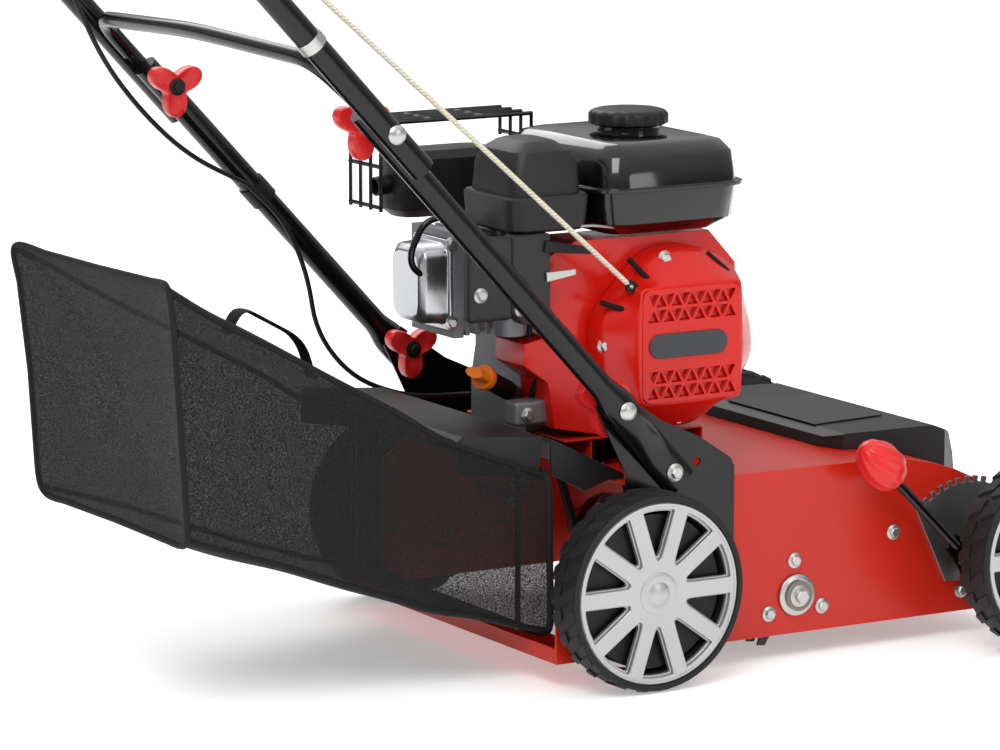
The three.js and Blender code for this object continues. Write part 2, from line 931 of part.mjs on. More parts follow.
function airCleaner() {
  const base = loft([
    roundedRing(-75, 19, -116, -6, 8, 441, 3),
    roundedRing(-75, 19, -116, -6, 8, 474, 3),
  ]);
  const cover = loft([
    roundedRing(-73, 14, -114, -8, 12, 473.5, 3),
    roundedRing(-73, 14, -114, -8, 12, 512, 3),
    roundedRing(-58, 4, -100, -22, 10, 530, 3),
  ]);
  return join(base, cover);
}

// The moulded panel below the air cleaner that carries the choke and fuel controls.
function controlCover() {
  const outline = [
    [-75, 440.6],
    [-31, 440.6],
    [-31, 350],
    [-62, 350],
    [-75, 362],
  ];
  return sidePlate(outline.reverse(), -116, -96);
}

function carburettor() {
  const body = box(-70, -34, -95.6, -48, 360, 420);
  const bowl = new THREE.CylinderGeometry(19, 17, 28, 20).rotateX(Math.PI / 2).translate(-53, -72, 348);
  return join(body, bowl);
}

function muffler() {
  const ring = (inset, z) => roundedRing(-77 + inset, 45 - inset, 105 + inset, 165 - inset, 16, z, 3);
  const can = loft([ring(8, 430), ring(0, 438), ring(0, 490), ring(8, 498)]);
  const inside = loft([ring(9, 432), ring(2, 439), ring(2, 489), ring(9, 496)]);
  const outlet = bar([-70, 135, 464], [-92, 135, 462], 10, 12);
  const bore = bar([-60, 135, 465], [-97, 135, 461.6], 8, 12);
  return cut(join(can, outlet), inside, bore);
}

// Bent wire that keeps hands off the hot muffler.
function mufflerGuard() {
  const wire = 2.2;
  const rear = -102;
  const front = 78;
  const top = 531;
  const near = 104;
  const far = 168;
  const pieces = [];
  const topWires = 4;
  for (let i = 0; i < topWires; i++) {
    const y = near + ((far - near) * i) / (topWires - 1);
    pieces.push(bar([rear, y, top], [front, y, top], wire, 4));
    pieces.push(bar([front - 1, y, top + 1], [front - 1, y, 502], wire, 4));
    pieces.push(bar([rear, y, top + 1], [rear, y, 440], wire, 4));
  }
  for (const z of [top, 486, 444]) {
    pieces.push(bar([rear, near - 2, z], [rear, far + 2, z], wire, 4));
  }
  for (const x of [-40, 20]) {
    pieces.push(bar([x, near - 2, top], [x, far + 2, top], wire, 4));
  }
  pieces.push(bar([front - 1, near - 2, 506], [front - 1, far + 2, 506], wire, 4));
  return join(...pieces);
}

// A flat lever that turns beside the control cover.
function smallLever(root, tip, width) {
  const reach = new THREE.Vector2(tip[0] - root[0], tip[1] - root[1]).normalize();
  const side = [-reach.y * width, reach.x * width];
  const outline = [
    [root[0] - side[0], root[1] - side[1]],
    [tip[0] - side[0] * 0.6, tip[1] - side[1] * 0.6],
    [tip[0] + side[0] * 0.6, tip[1] + side[1] * 0.6],
    [root[0] + side[0], root[1] + side[1]],
  ];
  return sidePlate(outline, -119.6, -116.6);
}

const CHOKE_ROOT = [-40, 428];
const THROTTLE_ROOT = [-38, 397];

add("crankcase", crankcase(), castAluminium);
add("cylinder_head", cylinderHead(), castAluminium);
add("valve_cover", valveCover(), chrome);
add("blower_housing", blowerHousing(), engineRed);
const recoil = add("recoil_cover", recoilCover(), engineRed);
recoil.position.set(CRANK[0], -96, CRANK[1]);
const fan = add("flywheel", flywheel(), castAluminium);
fan.position.set(CRANK[0], -70, CRANK[1]);
add("crankshaft", crankshaft(), steel);
add("fuel_tank", fuelTank(), blackGloss);
const cap = add("fuel_cap", fuelCap(), blackPlastic);
cap.position.set(...FILLER, 537.5);
add("air_cleaner", airCleaner(), blackPlastic);
add("control_cover", controlCover(), blackPlastic);
add("carburettor", carburettor(), castAluminium);
add("muffler", muffler(), blackPaint);
add("muffler_guard", mufflerGuard(), blackPaint);
add("choke_lever", smallLever(CHOKE_ROOT, [14, 420], 6), blackPlastic);
add("throttle_lever", smallLever(THROTTLE_ROOT, [-4, 400], 5), steel);

// The dipstick: an orange cap on a rod that goes into the filler neck.
function dipstick() {
  return join(bar(alongNeck(22), alongNeck(GAP), 13, 12), bar(alongNeck(8), alongNeck(-30), 5, 10));
}
add("oil_dipstick", dipstick(), oilOrange);

// ---------------------------------------------------------------- lower handle
function lowerHandle(sign) {
  const y = sign * lowerTubeY;
  const start = onHandle(CLAMP_BOLT, -62);
  const end = onHandle(CLAMP_BOLT, foldDistance + 28);
  const beyond = onHandle(CLAMP_BOLT, foldDistance + 32);
  const round = bar([start[0], y, start[1]], [end[0], y, end[1]], TUBE_RADIUS, 14);
  const [low, high] = outward(sign, bracketFace + GAP, bracketFace + GAP + FLAT_END);
  const flat = sidePlate(
    [
      onHandle(CLAMP_BOLT, -48, 10),
      onHandle(CLAMP_BOLT, -70, 17),
      onHandle(CLAMP_BOLT, -112, 17),
      onHandle(CLAMP_BOLT, -120, 10),
      onHandle(CLAMP_BOLT, -120, -10),
      onHandle(CLAMP_BOLT, -112, -17),
      onHandle(CLAMP_BOLT, -70, -17),
      onHandle(CLAMP_BOLT, -48, -10),
    ].reverse(),
    low,
    high,
  );
  const reach = [Math.min(low, y - 20) - 5, Math.max(high, y + 20) + 5];
  return cut(
    join(round, flat),
    bar([start[0], y, start[1]], [beyond[0], y, beyond[1]], TUBE_RADIUS - TUBE_WALL, 10),
    crossRod(HANDLE_SCREW, 4.2, ...reach, 10),
    crossRod(CLAMP_BOLT, 4.2, ...reach, 10),
    crossRod(FOLD_BOLT, 4.2, ...reach, 10),
  );
}
for (const { name, sign } of sides) {
  add("lower_handle_" + name, lowerHandle(sign), blackPaint);
}

// ---------------------------------------------------------------- upper handle
function upperPoint(distance, y, out = 0) {
  const [x, z] = onHandle(FOLD_BOLT, distance, out);
  return [x, y, z];
}

const ropeEye = upperPoint(360, -upperTubeY - TUBE_RADIUS - 12.4, 8);

// The line of the U-shaped tube, from one lower end to the other.
function upperLine(end) {
  return roundedLine(
    [
      upperPoint(end, -upperTubeY),
      upperPoint(UPPER_LENGTH, -upperTubeY),
      upperPoint(UPPER_LENGTH, upperTubeY),
      upperPoint(end, upperTubeY),
    ],
    60,
    6,
  );
}

function upperHandle() {
  const inner = upperTubeY - TUBE_RADIUS;
  const arch = roundedLine(
    [
      upperPoint(44, -inner + 2),
      upperPoint(CROSS_BAR, -inner + 14, -2),
      upperPoint(CROSS_BAR + 14, 0, -4),
      upperPoint(CROSS_BAR, inner - 14, -2),
      upperPoint(44, inner - 2),
    ],
    34,
  );
  const eyeBlock = new THREE.BoxGeometry(16, 26, 16).translate(
    ropeEye[0],
    -upperTubeY - TUBE_RADIUS - 8,
    ropeEye[2],
  );
  const reach = upperTubeY + 30;
  const legs = cut(
    tube(upperLine(-50), TUBE_RADIUS, 14),
    tube(upperLine(-54), TUBE_RADIUS - TUBE_WALL, 10),
  );
  return cut(
    join(legs, tube(arch, 8, 8), eyeBlock),
    crossRod(FOLD_BOLT, 4.2, -reach, -upperTubeY + 20, 10),
    crossRod(FOLD_BOLT, 4.2, upperTubeY - 20, reach, 10),
    bar(...ropeHole(), 4, 10),
  );
}

// ---------------------------------------------------------------- starter rope
const ropeExit = [CRANK[0] - 63, -133.5, CRANK[1] + 60];
const ropeRun = new THREE.Vector3(...ropeEye).sub(new THREE.Vector3(...ropeExit)).normalize();

function alongRope(distancePastEye) {
  return new THREE.Vector3(...ropeEye).addScaledVector(ropeRun, distancePastEye).toArray();
}

function ropeHole() {
  return [alongRope(-20), alongRope(20)];
}

function starterGrip() {
  const stem = bar(alongRope(13), alongRope(32), 6, 10);
  const [x, y, z] = alongRope(34);
  const half = 38;
  const bow = bar(
    [x - across.x * half, y, z - across.y * half],
    [x + across.x * half, y, z + across.y * half],
    10,
    12,
  );
  return join(stem, bow);
}

add("upper_handle", upperHandle(), blackPaint);
add("starter_rope", bar(ropeExit, alongRope(12.5), 2.3, 8), ropeWhite);
add("starter_grip", starterGrip(), blackPlastic);

const gripHalf = upperTubeY - 75;
const topBar = onHandle(FOLD_BOLT, UPPER_LENGTH);
const grip = add(
  "handle_grip",
  turned(
    [
      [TUBE_RADIUS + 0.4, -gripHalf],
      [17, -gripHalf],
      [17, gripHalf],
      [TUBE_RADIUS + 0.4, gripHalf],
    ],
    16,
  ),
  foamBlack,
);
grip.position.set(topBar[0], 0, topBar[1]);

// The bail that engages the reel, hanging clear of the top bar until it is squeezed.
const BAIL_PIVOT = onHandle(FOLD_BOLT, 405);
const BAIL_OPEN = THREE.MathUtils.degToRad(20);
function bailLever() {
  const inner = upperTubeY - TUBE_RADIUS - 6;
  const lift = new THREE.Vector2(along.x, along.y).rotateAround(new THREE.Vector2(), -BAIL_OPEN);
  const reach = (distance, y) => [
    BAIL_PIVOT[0] + lift.x * distance,
    y,
    BAIL_PIVOT[1] + lift.y * distance,
  ];
  const corners = [reach(-8, -inner), reach(112, -inner), reach(112, inner), reach(-8, inner)];
  return tube(roundedLine(corners, 40), 4, 8);
}
add("bail_lever", bailLever(), blackPaint);

// ---------------------------------------------------------------- star knobs with their bolts
// A three-lobed knob on a carriage bolt. Positive y runs from the knob out to the bolt head.
function starKnob(seat, headSeat) {
  const outline = [];
  const steps = 30;
  for (let i = 0; i < steps; i++) {
    const angle = (i * 2 * Math.PI) / steps;
    const lobe = Math.pow((1 + Math.cos(3 * angle)) / 2, 1.6);
    const radius = 14 + 17 * lobe;
    outline.push([radius * Math.cos(angle), radius * Math.sin(angle)]);
  }
  return join(
    sidePlate(outline, seat - 27, seat - 11),
    crossRod([0, 0], 9, seat - 20, seat - 0.4, 12),
    crossRod([0, 0], 3.7, seat - 12, headSeat + 1.5, 10),
    crossRod([0, 0], 9, headSeat + 0.4, headSeat + 2.8, 12),
  );
}

const clamps = [
  {
    name: "fold_knob",
    at: FOLD_BOLT,
    seat: lowerTubeY - TUBE_RADIUS,
    head: upperTubeY + TUBE_RADIUS,
  },
  {
    name: "clamp_knob",
    at: CLAMP_BOLT,
    seat: DECK_HALF,
    head: lowerTubeY + TUBE_RADIUS,
  },
];
for (const { name, at, seat, head } of clamps) {
  for (const side of sides) {
    const knob = add(name + "_" + side.name, starKnob(seat, head), plasticRed);
    knob.position.set(at[0], 0, at[1]);
    knob.rotation.z = side.sign > 0 ? 0 : Math.PI;
    knob.rotation.y = 0;
  }
}

// ---------------------------------------------------------------- clutch cable
// From the bail down the inside of the left tubes, then loose to the belt cover.
function clutchCable() {
  const beside = lowerTubeY - TUBE_RADIUS - 4.5;
  const points = [
    upperPoint(380, upperTubeY - TUBE_RADIUS - 5),
    upperPoint(250, upperTubeY - TUBE_RADIUS - 4.5),
    upperPoint(150, upperTubeY - TUBE_RADIUS - 8),
    upperPoint(58, beside + 1, -20),
    upperPoint(-60, beside, -18),
    upperPoint(-130, beside, -8),
    upperPoint(-199, beside, -4),
    [-131, beside, 366],
    [-120, beside, 300],
    [-84, 200, 252],
    [-20, 196, 226],
    [60, 188, 224],
    [104, BELT_Y + 36, 224],
    [108, BELT_Y + 28, 224],
  ];
  const path = new THREE.CatmullRomCurve3(
    points.map((p) => new THREE.Vector3(...p)),
    false,
    "centripetal",
  );
  return tube(path.getPoints(52), 2.6, 6);
}
add("clutch_cable", clutchCable(), blackPlastic);

// ---------------------------------------------------------------- rear guard and flap
const hoodHalf = 184;

// A fixed moulding from the deck up to the flap's hinge.
function rearGuard() {
  const topSkin = [
    [22, DECK_TOP + 0.5],
    [22, DECK_TOP + 5],
    [-60, 243],
    [-64, 240],
    [8, DECK_TOP + 0.5],
  ];
  const cheek = [
    [16, DECK_TOP + 0.5],
    [-63, 241],
    [-62, 208],
    [-24, 188],
    [4, DECK_TOP + 0.5],
  ];
  return join(
    sidePlate(topSkin.reverse(), -hoodHalf, hoodHalf),
    sidePlate(cheek.reverse(), -hoodHalf, -hoodHalf + 3),
    sidePlate(cheek, hoodHalf - 3, hoodHalf),
  );
}

function rearFlap() {
  const skin = [
    [FLAP_HINGE[0] - 2, FLAP_HINGE[1] + 1],
    [FLAP_HINGE[0] - 2, FLAP_HINGE[1] + 4],
    [-160, 254],
    [-168, 248],
    [-160, 250],
  ];
  const skirt = [
    [FLAP_HINGE[0] - 3, FLAP_HINGE[1] + 2],
    [-164, 251],
    [-166, 218],
    [FLAP_HINGE[0] - 6, 202],
  ];
  return join(
    sidePlate(skin.reverse(), -hoodHalf, hoodHalf),
    sidePlate(skirt.reverse(), -hoodHalf, -hoodHalf + 3),
    sidePlate(skirt, hoodHalf - 3, hoodHalf),
  );
}
add("rear_guard", rearGuard(), blackPlastic);
add("rear_flap", rearFlap(), blackPlastic);

// ---------------------------------------------------------------- catcher bag
// Rings of the bag's cross-section from the mouth to the rear: x, z range and half width.
const bagStations = [
  { top: [-86, 221], bottom: [-86, 47], half: 174 },
  { top: [-176, 244], bottom: [-233, 93], half: 172 },
  { top: [-474, 428], bottom: [-458, 172], half: 166 },
];

function bagRing({ top, bottom, half }, inset) {
  const lean = inset * 0.8;
  return [
    [top[0], half - inset, top[1] - lean],
    [top[0], -half + inset, top[1] - lean],
    [bottom[0], -half + inset, bottom[1] + lean],
    [bottom[0], half - inset, bottom[1] + lean],
  ];
}

function catcherBag() {
  const outer = loft(bagStations.map((station) => bagRing(station, 0)).reverse());
  const mouth = { top: [-60, 214], bottom: [-60, 38], half: 174 };
  const rear = { top: [-474 + BAG_WALL, 426], bottom: [-458 + BAG_WALL, 173], half: 166 };
  const innerStations = [mouth, bagStations[0], bagStations[1], rear];
  const inner = loft(innerStations.map((station) => bagRing(station, BAG_WALL)).reverse());
  return cut(outer, inner);
}

// The wire loop that holds the mouth open, just inside the fabric.
function bagFrame() {
  const inset = BAG_WALL + 4;
  const half = bagStations[0].half - inset;
  const x = -100;
  const top = 224 - inset - 2;
  const bottom = 52 + inset;
  const wires = [
    bar([x, -half, top], [x, half, top], 3),
    bar([x, -half, bottom], [x, half, bottom], 3),
    bar([x, -half, bottom - 3], [x, -half, top + 3], 3),
    bar([x, half, bottom - 3], [x, half, top + 3], 3),
  ];
  return join(...wires);
}
add("catcher_bag", catcherBag(), bagFabric);
add("bag_frame", bagFrame(), blackPaint);

// ---------------------------------------------------------------- place the origin
const extent = new THREE.Box3().setFromObject(machine);
const centre = extent.getCenter(new THREE.Vector3());
machine.position.set(-centre.x, -centre.y, -extent.min.z);

const scarifier = new THREE.Group();
scarifier.add(machine);
export default scarifier;
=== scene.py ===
import math

import bmesh
import bpy
from mathutils import Matrix, Vector, noise


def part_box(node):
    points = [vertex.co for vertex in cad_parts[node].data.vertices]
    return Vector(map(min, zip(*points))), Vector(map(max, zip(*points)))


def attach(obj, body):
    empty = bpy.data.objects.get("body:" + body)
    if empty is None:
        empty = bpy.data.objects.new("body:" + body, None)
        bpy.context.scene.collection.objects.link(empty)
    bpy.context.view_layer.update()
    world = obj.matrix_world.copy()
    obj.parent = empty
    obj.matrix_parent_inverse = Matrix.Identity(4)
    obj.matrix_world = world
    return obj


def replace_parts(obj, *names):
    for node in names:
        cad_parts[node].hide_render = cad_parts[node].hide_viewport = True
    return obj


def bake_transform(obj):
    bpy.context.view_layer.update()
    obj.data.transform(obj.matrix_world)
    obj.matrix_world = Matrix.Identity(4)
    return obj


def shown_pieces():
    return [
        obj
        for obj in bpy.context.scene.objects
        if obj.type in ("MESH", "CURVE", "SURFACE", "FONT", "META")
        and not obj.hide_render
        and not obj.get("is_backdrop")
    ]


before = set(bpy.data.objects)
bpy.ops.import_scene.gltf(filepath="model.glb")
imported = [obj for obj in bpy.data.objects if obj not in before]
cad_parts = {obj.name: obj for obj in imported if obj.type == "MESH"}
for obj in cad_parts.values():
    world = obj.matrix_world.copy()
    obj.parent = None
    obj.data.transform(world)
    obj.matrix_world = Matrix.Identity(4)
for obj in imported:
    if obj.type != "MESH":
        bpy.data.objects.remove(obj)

# ---------------------------------------------------------------- the machine's own frame
# Positions are in millimetres from the rear axle, the middle of the machine and the ground.
rim_low, rim_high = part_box("rim_rear_right")
AXLE_X = (rim_low.x + rim_high.x) / 2
CRANK = (114, 323)
ROPE_EXIT = (CRANK[0] - 63, CRANK[1] + 60)  # the eyelet in the recoil cover
REEL = (201, 66)
CLAMP = (-17.7, 278.6)
FOLD = (-289.8, 571.1)
ALONG = Vector((-0.68116, 0.73214))  # up the handle, in x and z
ACROSS = Vector((0.73214, 0.68116))  # square to the handle, forward and up
LOWER_TUBE_Y = 227.7
UPPER_TUBE_Y = 253.1
TUBE_RADIUS = 12.5
SIDES = {"right": -1, "left": 1}


def at(x, y, z):
    """A place in the frame's metres, from machine millimetres."""
    return Vector((AXLE_X + x / 1000, y / 1000, z / 1000))


def polar(centre, radius, turn):
    """The two coordinates at that distance and angle from a centre."""
    return centre[0] + radius * math.cos(turn), centre[1] + radius * math.sin(turn)


def handle_point(start, up, y, out=0):
    """A place that far up the handle from start, and out from it forward and up."""
    return (
        start[0] + ALONG.x * up + ACROSS.x * out,
        y,
        start[1] + ALONG.y * up + ACROSS.y * out,
    )


# ---------------------------------------------------------------- finishes
MOTTLE_SCALE = 18  # soft patches to the metre
GRAIN_DEPTH = 0.0006  # metres
STRAND_DEPTH = 0.001  # metres


def linear(red, green, blue):
    """The linear colour of a screen colour given in steps of 0 to 255."""
    parts = [part / 255 for part in (red, green, blue)]
    return [((part + 0.055) / 1.055) ** 2.4 if part > 0.04045 else part / 12.92 for part in parts]


def finish_of(name, colour, roughness, metallic=0.0, coat=0.0, grain=0.0, grain_scale=400, mottle=0.12):
    """A procedural finish: colour mottled by soft noise, uneven roughness, and a fine grain as bump."""
    material = bpy.data.materials.new(name)
    material.use_nodes = True
    nodes, links = material.node_tree.nodes, material.node_tree.links
    shader = nodes["Principled BSDF"]
    shader.inputs["Metallic"].default_value = metallic
    shader.inputs["Coat Weight"].default_value = coat
    shader.inputs["Coat Roughness"].default_value = 0.08
    shader.inputs["Specular IOR Level"].default_value = 0.33
    place = nodes.new("ShaderNodeTexCoord")
    soft = nodes.new("ShaderNodeTexNoise")
    soft.inputs["Scale"].default_value = MOTTLE_SCALE
    soft.inputs["Detail"].default_value = 4
    links.new(place.outputs["Object"], soft.inputs["Vector"])
    tint = nodes.new("ShaderNodeMix")
    tint.data_type = "RGBA"
    base = linear(*colour)
    tint.inputs[6].default_value = [c * (1 - mottle) for c in base] + [1]
    tint.inputs[7].default_value = [min(1, c * (1 + mottle)) for c in base] + [1]
    links.new(soft.outputs["Fac"], tint.inputs["Factor"])
    links.new(tint.outputs[2], shader.inputs["Base Color"])
    dull = nodes.new("ShaderNodeMapRange")
    dull.inputs["To Min"].default_value = max(0.03, roughness - 0.06)
    dull.inputs["To Max"].default_value = min(1.0, roughness + 0.08)
    links.new(soft.outputs["Fac"], dull.inputs["Value"])
    links.new(dull.outputs["Result"], shader.inputs["Roughness"])
    if grain:
        fine = nodes.new("ShaderNodeTexNoise")
        fine.inputs["Scale"].default_value = grain_scale
        fine.inputs["Detail"].default_value = 2
        links.new(place.outputs["Object"], fine.inputs["Vector"])
        bump = nodes.new("ShaderNodeBump")
        bump.inputs["Strength"].default_value = grain
        bump.inputs["Distance"].default_value = GRAIN_DEPTH
        links.new(fine.outputs["Fac"], bump.inputs["Height"])
        links.new(bump.outputs["Normal"], shader.inputs["Normal"])
    return material


DECK_RED = finish_of("deck_enamel", (188, 34, 17), 0.3, coat=0.08, grain=0.05, grain_scale=90, mottle=0.05)
ENGINE_RED = finish_of("engine_enamel", (200, 20, 8), 0.24, coat=0.12, mottle=0.05)
GLOSS_BLACK = finish_of("gloss_black", (9, 9, 10), 0.2, coat=0.15, grain=0.04, grain_scale=120)
TANK_BLACK = finish_of("tank_gloss", (9, 9, 10), 0.1, coat=0.5)
MATT_BLACK = finish_of("matt_black", (15, 15, 16), 0.45, grain=0.1, grain_scale=500)
MOULDED = finish_of("moulded_black", (30, 30, 31), 0.45, grain=0.25, grain_scale=900)
MOULDED_PALE = finish_of("moulded_grey", (42, 42, 43), 0.48, grain=0.25, grain_scale=900)
RUBBER = finish_of("tyre_rubber", (24, 24, 25), 0.62, grain=0.2, grain_scale=700)
BELT_RUBBER = finish_of("belt_rubber", (22, 22, 22), 0.7, grain=0.2)
FOAM = finish_of("foam", (24, 24, 25), 0.92, grain=0.8, grain_scale=1600)
RIM_SILVER = finish_of("rim_silver", (184, 184, 184), 0.36, metallic=0.75, grain=0.08, grain_scale=500)
CHROME = finish_of("satin_chrome", (196, 197, 200), 0.27, metallic=1.0)
ZINC = finish_of("zinc", (190, 190, 188), 0.33, metallic=1.0, grain=0.1)
STEEL = finish_of("bare_steel", (150, 150, 150), 0.38, metallic=1.0, grain=0.1)
CAST_ALLOY = finish_of("cast_alloy", (128, 129, 132), 0.5, metallic=0.6, grain=0.4, grain_scale=500)
SEAL = finish_of("seal_grey", (122, 116, 106), 0.6)
CAST_IRON = finish_of("cast_iron", (70, 70, 72), 0.6, metallic=0.7, grain=0.4)
KNOB_RED = finish_of("knob_red", (214, 34, 34), 0.34, coat=0.2, mottle=0.05)
ORANGE = finish_of("dipstick_orange", (222, 112, 10), 0.4)
BADGE = finish_of("badge_grey", (58, 60, 64), 0.35)
# A near-black for the recoil cover's slots: painted shade standing in for the dark inside each slot.
SLOT_SHADE = finish_of("painted_slot_shade", (6, 6, 6), 0.8)
PIPING = finish_of("bag_piping", (17, 17, 18), 0.8, grain=0.6, grain_scale=1200)


def rope_finish():
    """Twisted cord: slanting dark lines between off-white strands."""
    material = finish_of("starter_cord", (222, 216, 196), 0.75, mottle=0.08)
    nodes, links = material.node_tree.nodes, material.node_tree.links
    place = nodes.new("ShaderNodeTexCoord")
    strands = nodes.new("ShaderNodeTexWave")
    strands.bands_direction = "Z"
    strands.inputs["Scale"].default_value = 90
    bump = nodes.new("ShaderNodeBump")
    bump.inputs["Strength"].default_value = 0.9
    bump.inputs["Distance"].default_value = STRAND_DEPTH
    links.new(place.outputs["Object"], strands.inputs["Vector"])
    links.new(strands.outputs["Fac"], bump.inputs["Height"])
    links.new(bump.outputs["Normal"], nodes["Principled BSDF"].inputs["Normal"])
    return material


def mesh_fabric(name, openness):
    """Woven mesh: a dark cloth with fine openings that let a share of the light through."""
    material = finish_of(name, (19, 19, 20), 0.85, grain=0.6, grain_scale=800, mottle=0.15)
    nodes, links = material.node_tree.nodes, material.node_tree.links
    place = nodes.new("ShaderNodeTexCoord")
    weave = nodes.new("ShaderNodeTexNoise")
    weave.inputs["Scale"].default_value = 900
    holes = nodes.new("ShaderNodeMapRange")
    holes.inputs["From Min"].default_value = 0.3
    holes.inputs["From Max"].default_value = 0.6
    holes.inputs["To Min"].default_value = 1 - 2 * openness
    links.new(place.outputs["Object"], weave.inputs["Vector"])
    links.new(weave.outputs["Fac"], holes.inputs["Value"])
    links.new(holes.outputs["Result"], nodes["Principled BSDF"].inputs["Alpha"])
    return material


ROPE = rope_finish()
BAG_CLOTH = mesh_fabric("bag_mesh", 0.16)


# ---------------------------------------------------------------- making pieces
def skin_faces(rows, count, start=0, wrap=False, caps=(True, True)):
    """Faces over rows of count points each, numbered from start. wrap joins the last row to the
    first, and caps close the first and the last row."""
    faces = []
    for i in range(rows if wrap else rows - 1):
        low = start + i * count
        high = start + (i + 1) % rows * count
        for k in range(count):
            j = (k + 1) % count
            faces.append((low + k, low + j, high + j, high + k))
    if caps[0]:
        faces.append(tuple(range(start, start + count)))
    if caps[1]:
        faces.append(tuple(range(start + (rows - 1) * count, start + rows * count)))
    return faces


def new_piece(name, points, faces, material, body, smooth=35):
    """A mesh piece from points in metres, riding on a body. Edges over the smooth angle stay sharp."""
    mesh = bpy.data.meshes.new(name)
    mesh.from_pydata([tuple(p) for p in points], [], faces)
    mesh.update()
    piece = bpy.data.objects.new(name, mesh)
    bpy.context.scene.collection.objects.link(piece)
    return dress(piece, material, body, smooth)


def dress(piece, material, body, smooth=35):
    """The finish, the shading, the body and the material slot of a piece."""
    mesh = piece.data
    mesh.materials.clear()
    mesh.materials.append(material)
    work = bmesh.new()
    work.from_mesh(mesh)
    bmesh.ops.recalc_face_normals(work, faces=work.faces)
    work.to_mesh(mesh)
    work.free()
    mesh.shade_smooth()
    mesh.set_sharp_from_angle(angle=math.radians(smooth))
    if body:
        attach(piece, body)
    return piece


WELD = 2e-5  # metres, between corners of a CAD node that are one corner
FLAT_ANGLE = 0.6  # degrees, between faces of a CAD node that are one face


def refine(node, material, body, bevel=1.0, segments=2, smooth=35):
    """A copy of a CAD node's shape with rounded edges, shown instead of the node."""
    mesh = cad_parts[node].data.copy()
    piece = bpy.data.objects.new(node + "_shown", mesh)
    bpy.context.scene.collection.objects.link(piece)
    work = bmesh.new()
    work.from_mesh(mesh)
    bmesh.ops.remove_doubles(work, verts=work.verts, dist=WELD)
    flat = math.radians(FLAT_ANGLE)
    bmesh.ops.dissolve_limit(work, angle_limit=flat, verts=work.verts, edges=work.edges)
    work.to_mesh(mesh)
    work.free()
    dress(piece, material, body, smooth)
    if bevel:
        soften(piece, bevel, segments, 38)
    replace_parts(piece, node)
    return piece


def soften(piece, width, segments=3, angle=30):
    """Round the edges that bend by more than the angle. width is in millimetres."""
    rounding = piece.modifiers.new("rounding", "BEVEL")
    rounding.width = width / 1000
    rounding.segments = segments
    rounding.limit_method = "ANGLE"
    rounding.angle_limit = math.radians(angle)
    rounding.harden_normals = True
    return piece


def resize(piece, share, corner=(0, 0, 0), shift=(0, 0, 0)):
    """Scale a piece about a corner and then shift it, both in the frame's metres."""
    corner = Vector(corner)
    there = Matrix.Translation(corner + Vector(shift))
    piece.data.transform(there @ Matrix.Diagonal((*share, 1)) @ Matrix.Translation(-corner))


def corner_curve(before, corner, after, radius, most, steps):
    """The points round a corner, from at most that share of each side."""
    reach = min(radius, (before - corner).length * most, (after - corner).length * most)
    start = corner + (before - corner).normalized() * reach
    end = corner + (after - corner).normalized() * reach
    shares = [i / steps for i in range(steps + 1)]
    return [start * (1 - t) ** 2 + corner * 2 * t * (1 - t) + end * t**2 for t in shares]


def rounded_path(corners, radius, steps=8):
    """A line through the corners, with each inner corner rounded off."""
    corners = [Vector(c) for c in corners]
    path = [corners[0]]
    for before, corner, after in zip(corners, corners[1:], corners[2:]):
        path += corner_curve(before, corner, after, radius, 0.49, steps)
    path.append(corners[-1])
    return path


def sweep(name, path, size, material, body, around=16):
    """A closed round bar along a path in machine millimetres. size is a radius, or a function of the
    share of the way along that gives the two half-widths (across the machine, square to it)."""
    path = [Vector(p) for p in path]
    if len(path) == 2:
        path = [path[0].lerp(path[1], i / 12) for i in range(13)]
    points = []
    guide = Vector((0, 1, 0))
    heading = (path[1] - path[0]).normalized()
    if abs(heading.dot(guide)) > 0.9:
        guide = Vector((1, 0, 0))
    side = heading.cross(guide).normalized()
    total = sum((b - a).length for a, b in zip(path, path[1:]))
    gone = 0
    for i, point in enumerate(path):
        ahead = path[min(i + 1, len(path) - 1)]
        behind = path[max(i - 1, 0)]
        heading = (ahead - behind).normalized()
        side = (side - heading * side.dot(heading)).normalized()
        other = heading.cross(side).normalized()
        if i:
            gone += (point - path[i - 1]).length
        a, b = size(gone / total) if callable(size) else (size, size)
        for k in range(around):
            turn = 2 * math.pi * k / around
            points.append(at(*(point + other * a * math.cos(turn) + side * b * math.sin(turn))))
    return new_piece(name, points, skin_faces(len(path), around), material, body)


def lathe(name, profile, centre, material, body, around=64):
    """A ring turned about an axis across the machine. profile is (radius, y) in order round it."""
    points = []
    for radius, y in profile:
        for k in range(around):
            x, z = polar(centre, radius, 2 * math.pi * k / around)
            points.append(at(x, y, z))
    faces = skin_faces(len(profile), around, wrap=True, caps=(False, False))
    return new_piece(name, points, faces, material, body)


def loft(name, rings, material, body, caps=(True, True), smooth=35):
    """A skin over rings of equal length, points in machine millimetres."""
    points = [at(*p) for ring in rings for p in ring]
    faces = skin_faces(len(rings), len(rings[0]), caps=caps)
    return new_piece(name, points, faces, material, body, smooth=smooth)


